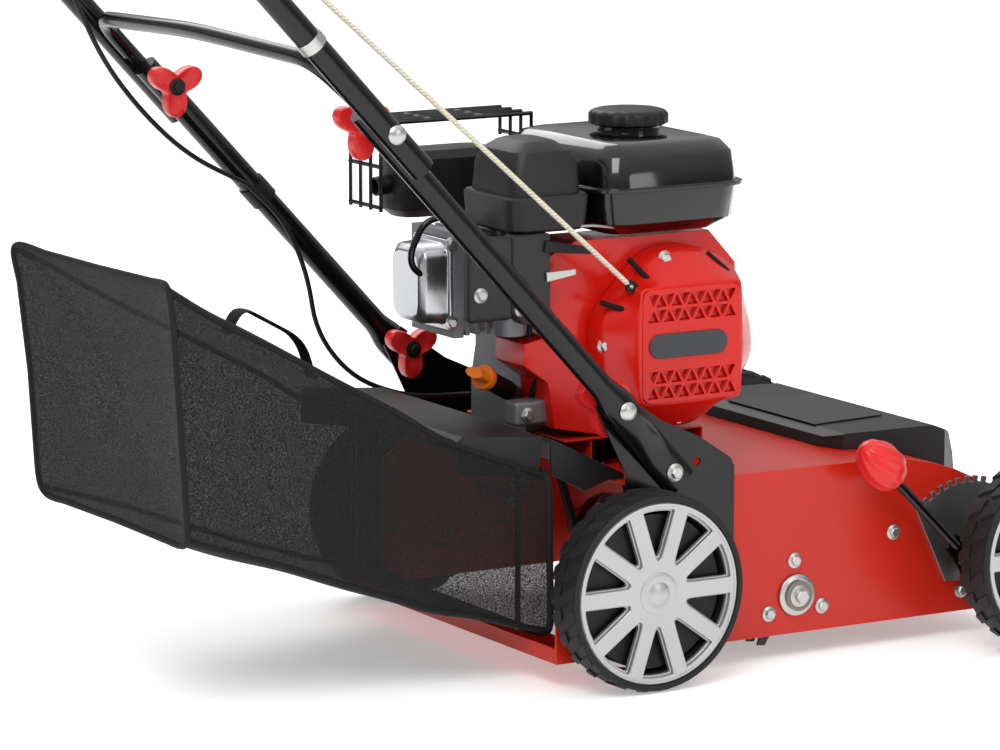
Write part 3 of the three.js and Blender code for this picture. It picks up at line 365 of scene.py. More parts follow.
def plate(name, outlines, y, thickness, material, body, rounding=0.8):
    """A flat plate standing in x and z. The first outline is its edge and the others are holes."""
    curve = bpy.data.curves.new(name, "CURVE")
    curve.dimensions = "2D"
    curve.fill_mode = "BOTH"
    curve.extrude = thickness / 2000 - rounding / 1000
    curve.bevel_depth = rounding / 1000
    curve.bevel_resolution = 2
    for outline in outlines:
        spline = curve.splines.new("POLY")
        spline.points.add(len(outline) - 1)
        spline.use_cyclic_u = True
        for vertex, (x, z) in zip(spline.points, outline):
            vertex.co = (x / 1000, z / 1000, 0, 1)
    flat = bpy.data.objects.new(name + "_curve", curve)
    bpy.context.scene.collection.objects.link(flat)
    bpy.context.view_layer.update()
    shaped = flat.evaluated_get(bpy.context.evaluated_depsgraph_get())
    mesh = bpy.data.meshes.new_from_object(shaped)
    bpy.data.objects.remove(flat)
    bpy.data.curves.remove(curve)
    stand = Matrix.Translation((AXLE_X, y / 1000, 0)) @ Matrix.Rotation(math.pi / 2, 4, "X")
    mesh.transform(stand)
    piece = bpy.data.objects.new(name, mesh)
    bpy.context.scene.collection.objects.link(piece)
    return dress(piece, material, body)


def circle(centre, radius, steps):
    """A round outline in x and z."""
    return [polar(centre, radius, 2 * math.pi * i / steps) for i in range(steps)]


def round_corners(corners, radius, steps=5):
    """A closed outline with each corner rounded."""
    outline = []
    for i, corner in enumerate(corners):
        before = Vector(corners[i - 1])
        after = Vector(corners[(i + 1) % len(corners)])
        bend = corner_curve(before, Vector(corner), after, radius, 0.45, steps)
        outline += [tuple(point) for point in bend]
    return outline


def resample(outline, centre, steps=96):
    """The outline as seen from its centre, at equal angles."""
    ring = []
    for i in range(steps):
        turn = 2 * math.pi * i / steps
        ray = Vector((math.cos(turn), math.sin(turn)))
        best = 0
        for a, b in zip(outline, outline[1:] + outline[:1]):
            a, b = Vector(a) - Vector(centre), Vector(b) - Vector(centre)
            edge = b - a
            bend = ray.x * edge.y - ray.y * edge.x
            if abs(bend) < 1e-9:
                continue
            distance = (a.x * edge.y - a.y * edge.x) / bend
            share = (a.x * ray.y - a.y * ray.x) / bend
            if distance > 0 and -1e-6 <= share <= 1 + 1e-6:
                best = max(best, distance)
        ring.append((centre[0] + ray.x * best, centre[1] + ray.y * best))
    return ring


BOLT_STEPS = 24  # points round a bolt, four to each flat of its head


def bolts(name, places, body, radius=5.0, height=5.0, outward=-1, material=None):
    """Flange bolts whose heads face out along y. places are (x, y, z) of the surface they sit on."""
    points, faces = [], []
    for x, y, z in places:
        # how far each row stands out and how high it lies, and whether it is six-sided
        rows = [
            (radius * 1.75, 0, False),
            (radius * 1.75, 0.8, False),
            (radius * 1.2, 1.8, False),
            (radius, 1.9, True),
            (radius, height - 0.8, True),
            (radius * 0.86, height, True),
        ]
        start = len(points)
        for reach, lift, hexagon in rows:
            for k in range(BOLT_STEPS):
                turn = 2 * math.pi * k / BOLT_STEPS
                r = reach
                if hexagon:
                    r = reach / math.cos((turn % (math.pi / 3)) - math.pi / 6)
                edge_x, edge_z = polar((x, z), r, turn)
                points.append(at(edge_x, y + outward * lift, edge_z))
        faces += skin_faces(len(rows), BOLT_STEPS, start)
    return new_piece(name, points, faces, material or ZINC, body, smooth=25)


# ---------------------------------------------------------------- wheels
LUGS = 25  # on each half of the tread
SPOKES = 10
# Each wheel's axle in x and z, the y of its outer face, and which way that face looks.
WHEELS = {
    "rear_right": ((0, 100), -273, -1),
    "rear_left": ((0, 100), 273, 1),
    "front_right": ((450, 100), -327, -1),
    "front_left": ((450, 100), 327, 1),
}


def turned(name, section, wheel, material, around=64):
    """A ring of a wheel. section is (radius, depth in from the wheel's outer face)."""
    centre, face, out = WHEELS[wheel]
    profile = [(radius, face - out * depth) for radius, depth in section]
    return lathe(name, profile, centre, material, "wheel_" + wheel, around=around)


def tyre(name, centre, face, out):
    """A smooth carcass with slanting lugs on both halves of the tread."""
    section = [
        (82, 14), (91.2, 14), (91.4, 1.2), (92, 0.2), (96, 0.2), (97.6, 1.8), (97.6, 5), (97.4, 12),
        (97.6, 24), (97.4, 36), (96.5, 43), (91, 46.5), (82, 46),
    ]
    carcass = turned("tyre_" + name + "_carcass", section, name, RUBBER, around=96)
    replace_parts(carcass, "tyre_" + name)
    points, faces = [], []
    for half in (0, 1):
        for i in range(LUGS):
            turn = 2 * math.pi * (i + half * 0.5) / LUGS
            near, far = (3.0, 22.5) if half == 0 else (45, 25.5)
            start = len(points)
            for radius, thin in ((95.0, 1.0), (99.9, 0.72)):
                for share in (0.0, 0.35, 1.0):
                    depth = near + (far - near) * share
                    lean = turn + 0.11 * share * (1 if half == 0 else -1)
                    drop = 1.6 if share == 0 and radius > 96 else 0
                    for edge in (-1, 1):
                        x, z = polar(centre, radius - drop, lean + edge * 0.082 * thin)
                        points.append(at(x, face - out * depth, z))
            for s in range(2):
                low, top = start + 2 * s, start + 6 + 2 * s
                faces.append((top, top + 1, top + 3, top + 2))
                faces.append((low, low + 2, top + 2, top))
                faces.append((low + 1, top + 1, top + 3, low + 3))
            faces.append((start, start + 6, start + 7, start + 1))
            faces.append((start + 4, start + 5, start + 11, start + 10))
    new_piece("tyre_" + name + "_lugs", points, faces, RUBBER, "wheel_" + name, smooth=50)


def wheel_cap(name, centre, face, out):
    """The silver cap: ten flat spokes between pointed windows, a raised ring and a domed hub."""
    body = "wheel_" + name

    def windows(half, top, tip):
        """Outlines of a disc and its windows, with spokes twice half wide."""
        outlines = [circle(centre, 90.2, 96)]
        for i in range(SPOKES):
            middle = 2 * math.pi * (i + 0.5) / SPOKES
            widest = math.pi / SPOKES - (half + 0.9) / top
            window = [(top, widest * (k / 4 - 1)) for k in range(9)]
            rows = (top - 2, 68, 54, 44, tip + 3.2, tip + 1)
            pull = (0, 0, 0, 0, 0.3, 1.0)
            edge = [(r, max(0.02, math.pi / SPOKES - (half + p) / r)) for r, p in zip(rows, pull)]
            window += edge
            window.append((tip, 0.0))
            window += [(r, -a) for r, a in reversed(edge)]
            outlines.append([polar(centre, r, middle + a) for r, a in window])
        return outlines

    front = windows(7.1, 85.5, 32.5)
    disc = plate("rim_" + name + "_spokes", front, face - out * 4.0, 3.6, RIM_SILVER, body, 1.1)
    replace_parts(disc, "rim_" + name)
    lips = windows(8.8, 83, 36)
    plate("rim_" + name + "_lips", lips, face - out * 8.6, 5.0, RIM_SILVER, body, 0.8)
    ring = [(87.4, 3.0), (88.0, 1.6), (90.0, 1.4), (91, 3.2), (91, 9), (87.4, 9)]
    turned("rim_" + name + "_ring", ring, name, RIM_SILVER, around=96)
    hub = [
        (0.1, -1.6), (6, -1.2), (10.5, 0.6), (12, 1.4), (14.5, 1.0),
        (19.5, 1.1), (21.4, 1.7), (22, 3.6), (24, 9), (0.1, 9),
    ]
    turned("rim_" + name + "_hub", hub, name, RIM_SILVER)
    core = [(8, 17), (77.5, 15.5), (78, 40), (8, 42)]
    turned("rim_" + name + "_core", core, name, MATT_BLACK)


for wheel, (centre, face, out) in WHEELS.items():
    tyre(wheel, centre, face, out)
    wheel_cap(wheel, centre, face, out)

# ---------------------------------------------------------------- deck and running gear
DECK_BOLTS = ((199, 101.5), (168.3, 49.5), (232.6, 51), (320, 118), (406, 48))  # x and z
BEARING_FACE = 217.2  # from the middle of the machine
DECK_WALL = 212.0  # from the middle of the machine

refine("deck_top_sheet", DECK_RED, "chassis", bevel=1.2)
for side, sign in SIDES.items():
    refine("deck_side_" + side, DECK_RED, "chassis", bevel=1.2)
    refine("handle_bracket_" + side, GLOSS_BLACK, "chassis", bevel=1.0)
    refine("reel_bearing_" + side, ZINC, "chassis", bevel=0.8)
    y = sign * BEARING_FACE
    seal = [(5, y), (15, y), (15.8, y + sign * 1.6), (5, y + sign * 2.2)]
    lathe("bearing_seal_" + side, seal, REEL, SEAL, "chassis")
    bolts("shaft_bolt_" + side, [(REEL[0], sign * 219, REEL[1])], "reel", 6.5, 8, sign)
    places = [(x, sign * DECK_WALL, z) for x, z in DECK_BOLTS]
    bolts("deck_bolts_" + side, places, "chassis", 4.6, 5, sign)
refine("deck_rear_lip", DECK_RED, "chassis", bevel=0.8)
refine("engine_mount", DECK_RED, "chassis", bevel=1.5)
refine("front_hood", MOULDED, "chassis", bevel=4.0, segments=3)
# The guard and the flap are drawn narrower, so that they sit inside the bag's mouth.
resize(refine("rear_guard", MOULDED, "chassis", bevel=1.5), (1, 0.92, 1))
resize(refine("rear_flap", MOULDED, "flap", bevel=1.5), (1, 0.88, 1))
refine("depth_axle", STEEL, "depth_setting", bevel=0.8)
refine("depth_lever", GLOSS_BLACK, "depth_setting", bevel=0)
refine("depth_quadrant", ZINC, "chassis", bevel=0.4)
refine("reel", CAST_IRON, "reel", bevel=0)
refine("reel_pulley", STEEL, "reel", bevel=0.5)
refine("drive_belt", BELT_RUBBER, "chassis", bevel=0)
refine("idler_arm", ZINC, "idler", bevel=0.6)
refine("belt_cover", MOULDED, "chassis", bevel=4.0, segments=3)

panel_corners = [(300, 70, 212.6), (300, -96, 212.6), (398, -78, 211), (404, 62, 211)]
panel_top = [(x, y, z + 1.4) for x, y, z in panel_corners]
soften(loft("hood_panel", [panel_corners, panel_top], MOULDED_PALE, "chassis"), 0.7)


KNOB_RIBS = 10
KNOB_RADIUS = 22.5
KNOB_HALF_LENGTH = 0.0315  # metres


def egg_knob():
    """The depth lever's knob, ribbed slantwise for the hand."""
    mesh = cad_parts["depth_knob"].data
    middle = sum((v.co for v in mesh.vertices), Vector()) / len(mesh.vertices)
    lever_low, lever_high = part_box("depth_lever")
    foot = Vector((lever_high.x, (lever_low.y + lever_high.y) / 2, lever_low.z))
    axis = (middle - foot).normalized()
    side = axis.cross(Vector((0, 1, 0))).normalized()
    other = axis.cross(side)
    points = []
    rows, around = 28, 60
    for i in range(rows + 1):
        t = -1 + 2 * i / rows
        level = middle + axis * t * KNOB_HALF_LENGTH
        swell = KNOB_RADIUS * math.sqrt(max(0.0004, 1 - t * t)) * (1 - 0.12 * t)
        for k in range(around):
            turn = 2 * math.pi * k / around
            rib = 1 + 0.035 * math.cos(KNOB_RIBS * turn + 4 * t)
            r = swell * rib / 1000
            points.append(level + side * r * math.cos(turn) + other * r * math.sin(turn))
    faces = skin_faces(rows + 1, around)
    knob = new_piece("depth_knob_egg", points, faces, KNOB_RED, "depth_setting", smooth=60)
    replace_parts(knob, "depth_knob")


egg_knob()

# ---------------------------------------------------------------- engine
refine("crankcase", CAST_ALLOY, "chassis", bevel=2.5, segments=3)
head = refine("cylinder_head", CAST_ALLOY, "chassis", bevel=0.8)
valve_cover = refine("valve_cover", CHROME, "chassis", bevel=4.0, segments=4)
refine("blower_housing", ENGINE_RED, "chassis", bevel=3.0, segments=3)
refine("flywheel", CAST_IRON, "crank", bevel=0.5)
refine("crankshaft", STEEL, "crank", bevel=0.5)
refine("fuel_tank", TANK_BLACK, "chassis", bevel=5.0, segments=4)


def air_cleaner():
    """The air cleaner's box: a body with a lip, and a lid whose top edges are cut off at a slope."""
    low, high = (-75, -116), (19, -6)
    # height, and how far in from the outline
    levels = [
        (441, 5), (444, 2), (471, 0), (475, 0), (477, 1.5), (477.5, 6), (506, 8), (520, 14),
        (528, 24), (530, 30),
    ]
    rings = []
    for z, inset in levels:
        corners = [
            (low[0] + inset, low[1] + inset),
            (high[0] - inset, low[1] + inset),
            (high[0] - inset, high[1] - inset),
            (low[0] + inset, high[1] - inset),
        ]
        rings.append([(x, y, z) for x, y in round_corners(corners, 20, 6)])
    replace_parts(loft("air_cleaner_box", rings, MOULDED, "chassis", smooth=28), "air_cleaner")


air_cleaner()
refine("control_cover", MOULDED_PALE, "chassis", bevel=3.0, segments=3)
refine("carburettor", CAST_ALLOY, "chassis", bevel=1.0)
refine("muffler", MATT_BLACK, "chassis", bevel=4.0, segments=3)
refine("muffler_guard", MATT_BLACK, "chassis", bevel=0, smooth=60)
refine("choke_lever", MATT_BLACK, "choke", bevel=0.8)
refine("throttle_lever", ZINC, "throttle", bevel=0.8)


def recoil_cover():
    """The starter's cover: a rounded eight-sided dome with a flat front that has two grilles of
    triangular openings and a plain capsule badge between them."""
    middle = (115, 320)
    base = [
        (84, 414), (135, 418), (186, 396), (208, 325), (208, 293),
        (143, 232), (58, 232), (28, 264), (22, 349),
    ]
    front = [
        (58, 262), (171, 262), (175, 268), (175, 378),
        (171, 382), (58, 382), (54, 378), (54, 268),
    ]
    rim = resample(round_corners(base, 22), middle)
    panel = resample(round_corners(front, 16), middle)

    def between(share, y, inset=0.0):
        """A ring at y, that share of the way from the rim to the front panel, and drawn in."""
        ring = []
        for a, b in zip(rim, panel):
            p = Vector(a).lerp(Vector(b), share)
            p = p.lerp(Vector(middle), inset)
            ring.append((p.x, y, p.y))
        return ring

    rings = [
        between(0, -97), between(0, -112), between(0.03, -117), between(0.16, -122),
        between(0.5, -133), between(0.82, -143), between(0.94, -146.4), between(1.0, -147.6),
        between(1.0, -147.8, 0.04), between(1.0, -144, 0.06),
    ]
    dome = loft("recoil_cover_dome", rings, ENGINE_RED, "chassis", smooth=50)
    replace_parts(dome, "recoil_cover")
    outlines = [round_corners([(57, 264.5), (172.5, 264.5), (172.5, 379.5), (57, 379.5)], 12)]

    def grille(z_low, z_high, x_low=60, x_high=170, rows=2, columns=6):
        """Triangles in rows, pointing up and down by turns."""
        height = (z_high - z_low) / rows
        width = (x_high - x_low) / columns
        for row in range(rows):
            for column in range(columns * 2 - 1):
                x = x_low + (column + 1) * width / 2
                z = z_low + row * height
                up = (row + column) % 2 == 0
                tip, foot = (z + height - 1.2, z + 1.2) if up else (z + 1.2, z + height - 1.2)
                half = width / 2 - 2.2  # leaves a bar between two triangles
                outlines.append([(x - half, foot), (x + half, foot), (x, tip)])

    grille(345, 376)
    grille(267, 298)
    plate("recoil_cover_front", outlines, -147.6, 2.4, ENGINE_RED, "chassis", rounding=0.4)
    capsule = []
    for end, first in (((144, 322), math.pi / 2), ((76, 322), -math.pi / 2)):
        capsule += [polar(end, 11.5, first - math.pi * i / 24) for i in range(25)]
    plate("recoil_cover_badge", [capsule], -149.6, 2.6, BADGE, "chassis", rounding=0.8)
    bolts(
        "recoil_cover_bolts",
        [(98.7, -121, 406), (30, -117, 322), (117, -116, 240), (199, -116, 312)],
        "chassis", 4.6, 6,
    )
    # The slots are not cut: each is a near-black rod, painted shade for the inside of the slot.
    slots = [((57, 409), (75, 386)), ((24, 367), (52, 357)), ((150, 408), (168, 389))]
    for i, (rim_end, panel_end) in enumerate(slots):
        start = Vector((rim_end[0], -119.5, rim_end[1]))
        end = Vector((panel_end[0], -132.5, panel_end[1]))
        run = [start.lerp(end, k / 6) for k in range(7)]
        sweep("cover_slot_shade_%d" % i, run, 2.8, SLOT_SHADE, "chassis", around=12)
    eyelet = [(2.8, -133), (6.5, -133), (6.5, -137), (2.8, -137)]
    lathe("rope_eyelet", eyelet, ROPE_EXIT, MATT_BLACK, "chassis", around=24)


recoil_cover()


def filler_cap():
    """The tank's cap, scalloped round its rim."""
    low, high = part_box("fuel_cap")
    middle = (low + high) / 2
    points = []
    # the share of the radius, the share of the height, and the depth of the scallops
    rows = [
        (0.90, 0.0, 0.03), (1.0, 0.12, 0.05), (1.0, 0.7, 0.05),
        (0.94, 0.9, 0.03), (0.8, 1.0, 0.0), (0.3, 1.04, 0.0),
    ]
    scallops, around = 16, 96
    radius = (high.x - low.x) / 2
    for share, lift, scallop in rows:
        for k in range(around):
            turn = 2 * math.pi * k / around
            r = radius * share * (1 - scallop * (1 + math.cos(scallops * turn)) / 2)
            x, y = polar((middle.x, middle.y), r, turn)
            points.append((x, y, low.z + (high.z - low.z) * lift))
    faces = skin_faces(len(rows), around)
    cap = new_piece("fuel_cap_scalloped", points, faces, MATT_BLACK, "filler_cap", smooth=50)
    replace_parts(cap, "fuel_cap")


filler_cap()


def block(name, low, high, material, body, rounding):
    """A moulded block between two corners, with rounded edges."""
    ring = [(0, 0), (1, 0), (1, 1), (0, 1)]
    rings = [
        [(low[0] + (high[0] - low[0]) * a, y, low[2] + (high[2] - low[2]) * b) for a, b in ring]
        for y in (low[1], high[1])
    ]
    return soften(loft(name, rings, material, body), rounding)


block("control_cover_wing", (-124, -115.5, 356), (-73, -98, 440), MOULDED_PALE, "chassis", 6)
bolts("control_bolts", [(-112, -115.5, 384), (-66, -117, 367)], "chassis", 4.4, 5)
block("crankcase_foot", (-52, -82, 241), (12, -58.6, 266), CAST_ALLOY, "chassis", 4)
bolts("foot_bolts", [(-38, -82, 252), (-4, -82, 256), (14, -84, 247)], "chassis", 4.4, 5)

# The valve cover and the head's lower edge are drawn smaller than their nodes.
resize(valve_cover, (0.69, 0.8, 0.85), at(-98.8, 0, 430), (0, 0, -0.002))
resize(head, (1, 1, 0.88), at(-98.8, 0, 436))
bolts("head_bolts", [(-101, -38.4, 345), (-101, -38.4, 425)], "chassis", 4.0, 5)

NECK_MOUTH = Vector((-60, -50, 283))
NECK_RUN = Vector((-60, -34, 29)).normalized()


def along_neck(distance):
    """A place on the filler neck's axis, measured out from its mouth."""
    return NECK_MOUTH + NECK_RUN * distance


sweep("filler_neck", [along_neck(-34), along_neck(14)], 10, MATT_BLACK, "chassis", around=24)
collar = sweep("dipstick_collar", [along_neck(14.4), along_neck(22)], 12.5, ORANGE, "dipstick", around=28)
tab = [along_neck(20), along_neck(40)]
sweep("dipstick_tab", tab, lambda share: (11.5 - 1.5 * share, 5.5), ORANGE, "dipstick", around=28)
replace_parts(collar, "oil_dipstick")
spark_lead = [
    (-96, -20, 380), (-150, -30, 405), (-128, -34, 452),
    (-96, -40, 452), (-63, -46, 396), (-40, -60, 400),
]
sweep("spark_lead", rounded_path(spark_lead, 26), 3.4, GLOSS_BLACK, "chassis")
fuel_hose = [(-30, -70, 350), (-34, -78, 318), (-20, -72, 290), (-22, -60, 262)]
sweep("fuel_hose", rounded_path(fuel_hose, 16), 3.2, MATT_BLACK, "chassis")
linkage_rod = [(-40, -108, 446), (20, -112, 444), (66, -100, 436)]
sweep("linkage_rod", linkage_rod, 1.5, ZINC, "chassis", around=8)

# ---------------------------------------------------------------- handle
TUBE_FOOT = 112  # from the clamp bolt down to the end of the lower tube
TUBE_RUN = 537.5  # whole length of the lower tube
FOOT_Y = 219.7  # middle of the flat foot
FLAT_THICK = 4.6  # half the foot's thickness
FLAT_WIDE = 17.5  # half the foot's width
GRIP_REACH = 515  # from the fold up to the grip
CORD_RADIUS = 2.6  # of the starter rope and of the clutch cable


def ease(share):
    """From 0 to 1 with a soft start and end."""
    share = min(1.0, max(0.0, share))
    return share * share * (3 - 2 * share)


def flattened(share):
    """The lower tube's half-widths: its foot is pressed flat, and swells back to round."""
    up = share * TUBE_RUN - TUBE_FOOT
    thick, narrow = ease((up + 75) / 75), ease((up - 8) / 28)
    across = FLAT_THICK + (TUBE_RADIUS - FLAT_THICK) * thick
    return across, FLAT_WIDE + (TUBE_RADIUS - FLAT_WIDE) * narrow


for side, sign in SIDES.items():
    line = []
    for i in range(90):
        up = i * TUBE_RUN / 89 - TUBE_FOOT
        y = FOOT_Y + (LOWER_TUBE_Y - FOOT_Y) * ease((up + 75) / 75)
        line.append(handle_point(CLAMP, up, sign * y))
    lower = sweep("lower_tube_" + side, line, flattened, GLOSS_BLACK, "lower_handle", around=24)
    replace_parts(lower, "lower_handle_" + side)

corners = [
    handle_point(FOLD, -50, -UPPER_TUBE_Y),
    handle_point(FOLD, GRIP_REACH, -UPPER_TUBE_Y),
    handle_point(FOLD, GRIP_REACH, UPPER_TUBE_Y),
    handle_point(FOLD, -50, UPPER_TUBE_Y),
]
upper = sweep("upper_tube", rounded_path(corners, 60), TUBE_RADIUS, GLOSS_BLACK, "upper_handle", around=24)
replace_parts(upper, "upper_handle")
inner = UPPER_TUBE_Y - TUBE_RADIUS
arch = [
    handle_point(FOLD, 44, -inner + 2),
    handle_point(FOLD, 98, -inner + 14, -2),
    handle_point(FOLD, 112, 0, -4),
    handle_point(FOLD, 98, inner - 14, -2),
    handle_point(FOLD, 44, inner - 2),
]
sweep("cross_bar", rounded_path(arch, 50), 8, GLOSS_BLACK, "upper_handle", around=20)

rope_eye = Vector(handle_point(FOLD, 360, -UPPER_TUBE_Y - TUBE_RADIUS - 12.4, 8))
rope_exit = Vector((ROPE_EXIT[0], -133.5, ROPE_EXIT[1]))
rope_run = (rope_eye - rope_exit).normalized()
bracket = [
    handle_point(FOLD, 352, -UPPER_TUBE_Y - 9, 8),
    rope_eye + Vector((6, 3, -2)),
    rope_eye + Vector((-6, -2, 3)),
]
sweep("rope_bracket", rounded_path(bracket, 8), 3.2, GLOSS_BLACK, "upper_handle", around=12)


def rope_part(name, start, end):
    """One length of the starter rope, running between the two bodies that it passes."""
    path = [start.lerp(end, i / 40) for i in range(41)]
    piece = sweep(name, path, CORD_RADIUS, ROPE, None, around=10)
    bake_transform(piece)
    return piece


rope_middle = rope_exit.lerp(rope_eye, 0.52)
rope_start, rope_end = rope_exit - rope_run * 6, rope_eye + rope_run * 12
lower_rope = rope_part("starter_rope_lower", rope_start, rope_middle)
rope_part("starter_rope_upper", rope_middle, rope_end)
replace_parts(lower_rope, "starter_rope")
refine("starter_grip", MOULDED, "starter", bevel=2.5, segments=3)


def foam_size(share):
    """The foam's half-widths, smaller at its two ends."""
    radius = 17.2 - 2.5 * (abs(share - 0.5) > 0.49)
    return radius, radius


grip_path = [handle_point(FOLD, GRIP_REACH, -178 + i * 356 / 40) for i in range(41)]
grip = sweep("foam_grip", grip_path, foam_size, FOAM, "upper_handle", around=24)
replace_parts(grip, "handle_grip")
refine("bail_lever", GLOSS_BLACK, "bail", bevel=0, smooth=60)

KNOB_TURN = 0.5  # radians, how the star knobs are left standing
BRACKET_INSIDE = 211.5  # the face of the handle's bracket that the clamp knobs bear on


def star_knob(name, centre, seat, head, sign):
    """A three-lobed knob with a dished face, its nut, and the bolt's round head on the outside. The
    knob is the body of its own name."""
    body = name
    points = []
    around = 90
    # the share of the radius, and how far in from the seat
    rows = [
        (0.4, 24.5), (0.55, 25), (0.93, 26.8), (0.985, 25.8),
        (1.0, 24), (1.0, 14), (0.97, 12), (0.6, 11),
    ]
    for share, depth in rows:
        for k in range(around):
            turn = 2 * math.pi * k / around
            lobe = (1 + math.cos(3 * turn)) / 2
            radius = (12.5 + 19 * lobe) * share
            x, z = polar(centre, radius, turn + KNOB_TURN)
            points.append(at(x, sign * (seat - depth), z))
    knob = new_piece(name + "_star", points, skin_faces(len(rows), around), KNOB_RED, body, smooth=50)
    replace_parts(knob, name)

    def part(ending, profile, material, steps):
        """A turned part of the knob. profile is (radius, distance out from the machine's middle)."""
        lathe(name + ending, [(r, sign * y) for r, y in profile], centre, material, body, around=steps)

    part("_stem", [(0.1, seat - 12), (9, seat - 12), (9.4, seat - 1), (0.1, seat - 0.4)], KNOB_RED, 32)
    bolts(name + "_nut", [(centre[0], sign * (seat - 25.5), centre[1])], body, 5.0, 6, -sign, MATT_BLACK)
    dome = [(0.1, 4.2), (4, 4), (7.5, 2.8), (9.4, 0.9), (9.4, 0.2), (0.1, 0.2)]
    part("_head", [(r, head + out) for r, out in dome], ZINC, 32)
    shank = [(0.1, seat - 24), (3.7, seat - 24), (3.7, head + 1), (0.1, head + 1)]
    part("_bolt", shank, ZINC, 20)


for side, sign in SIDES.items():
    inside, outside = LOWER_TUBE_Y - TUBE_RADIUS, UPPER_TUBE_Y + TUBE_RADIUS
    star_knob("fold_knob_" + side, FOLD, inside, outside, sign)
    star_knob("clamp_knob_" + side, CLAMP, BRACKET_INSIDE, LOWER_TUBE_Y + TUBE_RADIUS, sign)
    bolts("foot_screw_" + side, [(47, sign * 224.6, 209.1)], "lower_handle", 5.2, 6, sign)


def clutch_cable():
    """The clutch cable in two lengths, split between the handle's fold and its clamp."""
    beside = LOWER_TUBE_Y - TUBE_RADIUS - 4.5  # just inside the lower tube
    upper_part = [
        handle_point(FOLD, 380, UPPER_TUBE_Y - 17.5),
        handle_point(FOLD, 250, UPPER_TUBE_Y - 17),
        handle_point(FOLD, 150, UPPER_TUBE_Y - 20.5),
        handle_point(FOLD, 70, beside + 1, -34),
        handle_point(FOLD, 0, beside, -40),
        handle_point(FOLD, -70, beside, -34),
        handle_point(FOLD, -140, beside, -8),
    ]
    lower_part = [
        upper_part[-1],
        handle_point(FOLD, -199, beside, -4),
        (-131, beside, 366),
        (-120, beside, 300),
        (-84, 200, 252),
        (-20, 196, 226),
        (60, 188, 224),
        (104, 185, 224),
    ]
    path = rounded_path(upper_part, 40, 6)
    top = sweep("clutch_cable_upper", path, CORD_RADIUS, MATT_BLACK, None, around=10)
    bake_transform(top)
    path = rounded_path(lower_part, 40, 6)
    bottom = sweep("clutch_cable_lower", path, CORD_RADIUS, MATT_BLACK, None, around=10)
    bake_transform(bottom)
    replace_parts(top, "clutch_cable")


clutch_cable()
clip = [handle_point(FOLD, -150, LOWER_TUBE_Y), handle_point(FOLD, -174, LOWER_TUBE_Y)]
sweep("cable_clip", clip, 14.6, MATT_BLACK, "lower_handle", around=24)
clip = [handle_point(FOLD, 118, -UPPER_TUBE_Y), handle_point(FOLD, 130, -UPPER_TUBE_Y)]
sweep("rope_clip", clip, 13.8, ZINC, "upper_handle", around=24)

# ---------------------------------------------------------------- catcher bag
BAG_TOP = [(-68, 212), (-170, 255), (-232, 293.4), (-395, 385.5), (-474, 428)]
BAG_BOTTOM = [(-66, 45), (-160, 68), (-233, 92), (-343, 132), (-458, 172)]
BAG_HALF_WIDTH = 174  # at the mouth
BAG_SQUARENESS = 0.15  # 1 is round, and 0 is square
SEAM_POINTS = (7, 29, 43, 65)  # where the four long seams lie on a section's points

def along_line(line, share):
    """The point at that share of a line of points, in even steps from each point to the next."""
    place = min(share * (len(line) - 1), len(line) - 1 - 1e-6)
    i = int(place)
    return Vector(line[i]).lerp(Vector(line[i + 1]), place - i)


def bag_ring(share, around=72, draw_in=0.0, hollow=0.0):
    """One section of the bag: a soft rectangle whose long edges sag and whose rear top corners are
    pulled out. draw_in and hollow make the rear panel's rings."""
    top, bottom = along_line(BAG_TOP, share), along_line(BAG_BOTTOM, share)
    half = BAG_HALF_WIDTH - 8 * share
    ring = []
    for k in range(around):
        turn = 2 * math.pi * k / around
        c, s = math.cos(turn), math.sin(turn)
        u = math.copysign(abs(c) ** BAG_SQUARENESS, c)
        v = math.copysign(abs(s) ** BAG_SQUARENESS, s)
        height = (v + 1) / 2
        edge = bottom.lerp(top, height)
        wave = 3.4 * noise.noise(Vector((share * 5, u * 1.6, height * 2.4)))
        y = u * (half - 5 * (1 - abs(v) ** 4) * math.sin(math.pi * share))
        sag = (7 * math.sin(math.pi * share) + 5 * share) * (1 - abs(u) ** 3)
        z = edge.y - sag * (1 if v > 0 else -0.4)
        ear = max(0.0, (share - 0.75) / 0.25) ** 1.5 * abs(u) ** 8 * max(0.0, v) ** 4
        x = edge.x - 4 * share * abs(u) ** 6 - 12 * ear
        y += math.copysign(16 * ear, u)
        z += 12 * ear
        middle_x, middle_z = (top.x + bottom.x) / 2, (top.y + bottom.y) / 2
        x = x + (middle_x - x) * draw_in + hollow + wave * 0.5 * share
        z = z + (middle_z - z) * draw_in + wave
        y = y * (1 - draw_in) + wave * 0.5
        ring.append((x, y, z))
    return ring


def catcher_bag():
    """The bag's cloth, and the seams and strap that lie on it."""
    rings = [bag_ring(i / 34) for i in range(35)]
    rear = ((0.02, -0.5), (0.1, 3), (0.3, 9), (0.55, 13), (0.8, 15), (0.97, 15.5), (0.99, 15.5))
    rings += [bag_ring(1.0, draw_in=d, hollow=h) for d, h in rear]
    bag = loft("bag_cloth", rings, BAG_CLOTH, "bag", caps=(False, True), smooth=80)
    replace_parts(bag, "catcher_bag")
    for corner in SEAM_POINTS:
        run = [bag_ring(i / 30)[corner] for i in range(31)]
        sweep("bag_piping_%d" % corner, run, 3.0, PIPING, "bag", around=10)
    for name, share, radius in (("bag_rear_piping", 1.0, 3.2), ("bag_mouth_piping", 0.0, 3.6)):
        loop = bag_ring(share)
        sweep(name, loop + loop[:1], radius, PIPING, "bag", around=10)
    strap = rounded_path([(-345, -18, 352), (-330, -18, 378), (-262, -18, 340), (-250, -18, 300)], 24)
    sweep("bag_strap", strap, lambda share: (12, 1.6), PIPING, "bag", around=16)


refine("bag_frame", MATT_BLACK, "bag", bevel=0, smooth=60)
catcher_bag()

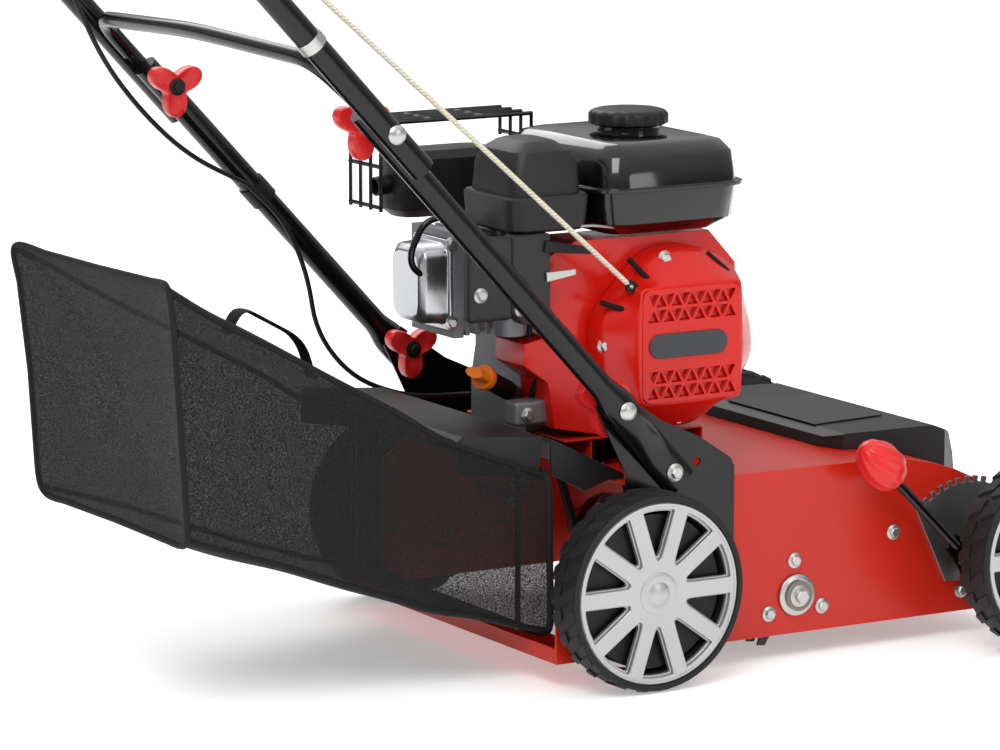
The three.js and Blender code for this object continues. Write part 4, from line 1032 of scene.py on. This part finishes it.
# ---------------------------------------------------------------- the CAD's own finishes
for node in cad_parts.values():
    node.data.materials.clear()
    node.data.materials.append(MATT_BLACK)

# ---------------------------------------------------------------- floor, light and camera
bpy.ops.mesh.primitive_plane_add(size=40)
floor = bpy.context.object
floor.name = "floor"
floor_white = finish_of("floor_white", (240, 240, 240), 0.95, mottle=0.01)
floor_shader = floor_white.node_tree.nodes["Principled BSDF"]
floor_shader.inputs["Emission Color"].default_value = (1, 1, 1, 1)
floor_shader.inputs["Emission Strength"].default_value = 0.36
floor_shader.inputs["Specular IOR Level"].default_value = 0.0
floor.data.materials.append(floor_white)
floor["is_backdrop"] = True

world = bpy.context.scene.world or bpy.data.worlds.new("studio")
bpy.context.scene.world = world
world.use_nodes = True
sky_nodes, sky_links = world.node_tree.nodes, world.node_tree.links
sky_place = sky_nodes.new("ShaderNodeTexCoord")
sky_height = sky_nodes.new("ShaderNodeSeparateXYZ")
sky_ramp = sky_nodes.new("ShaderNodeValToRGB")
sky_ramp.color_ramp.elements[0].position = 0.05
sky_ramp.color_ramp.elements[0].color = (0.17, 0.17, 0.175, 1)
sky_ramp.color_ramp.elements[1].position = 0.75
sky_ramp.color_ramp.elements[1].color = (1, 1, 1, 1)
sky_links.new(sky_place.outputs["Generated"], sky_height.inputs["Vector"])
sky_links.new(sky_height.outputs["Z"], sky_ramp.inputs["Fac"])
sky_links.new(sky_ramp.outputs["Color"], sky_nodes["Background"].inputs["Color"])
sky_nodes["Background"].inputs["Strength"].default_value = 1.1


def area_light(name, location, target, size, power):
    """A square lamp at a place, turned to its target."""
    light = bpy.data.lights.new(name, "AREA")
    light.size = size
    light.energy = power
    lamp = bpy.data.objects.new(name, light)
    lamp.location = location
    lamp.rotation_euler = (Vector(target) - Vector(location)).to_track_quat("-Z", "Y").to_euler()
    bpy.context.scene.collection.objects.link(lamp)


area_light("key", (-1.9, -2.4, 3.2), (0, 0, 0.35), 1.8, 75)
area_light("front", (1.4, -4.2, 1.5), (0, 0, 0.3), 1.2, 16)
area_light("back", (0.5, 3.0, 2.8), (0, 0, 0.3), 2.0, 35)

camera_data = bpy.data.cameras.new("camera")
camera_data.lens = 179.55
camera_data.sensor_width = 36
camera = bpy.data.objects.new("camera", camera_data)
camera.location = (-2.5059, -4.3155, 1.1519)
camera.rotation_euler = Vector((0.4994, 0.8492, -0.1717)).to_track_quat("-Z", "Y").to_euler()
bpy.context.scene.collection.objects.link(camera)
bpy.context.scene.camera = camera
bpy.context.scene.view_settings.view_transform = "Standard"

# ---------------------------------------------------------------- the corners of the shown pieces' boxes
bpy.context.view_layer.update()
corner_list = []
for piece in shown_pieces():
    corner_list += [piece.matrix_world @ Vector(c) for c in piece.bound_box]
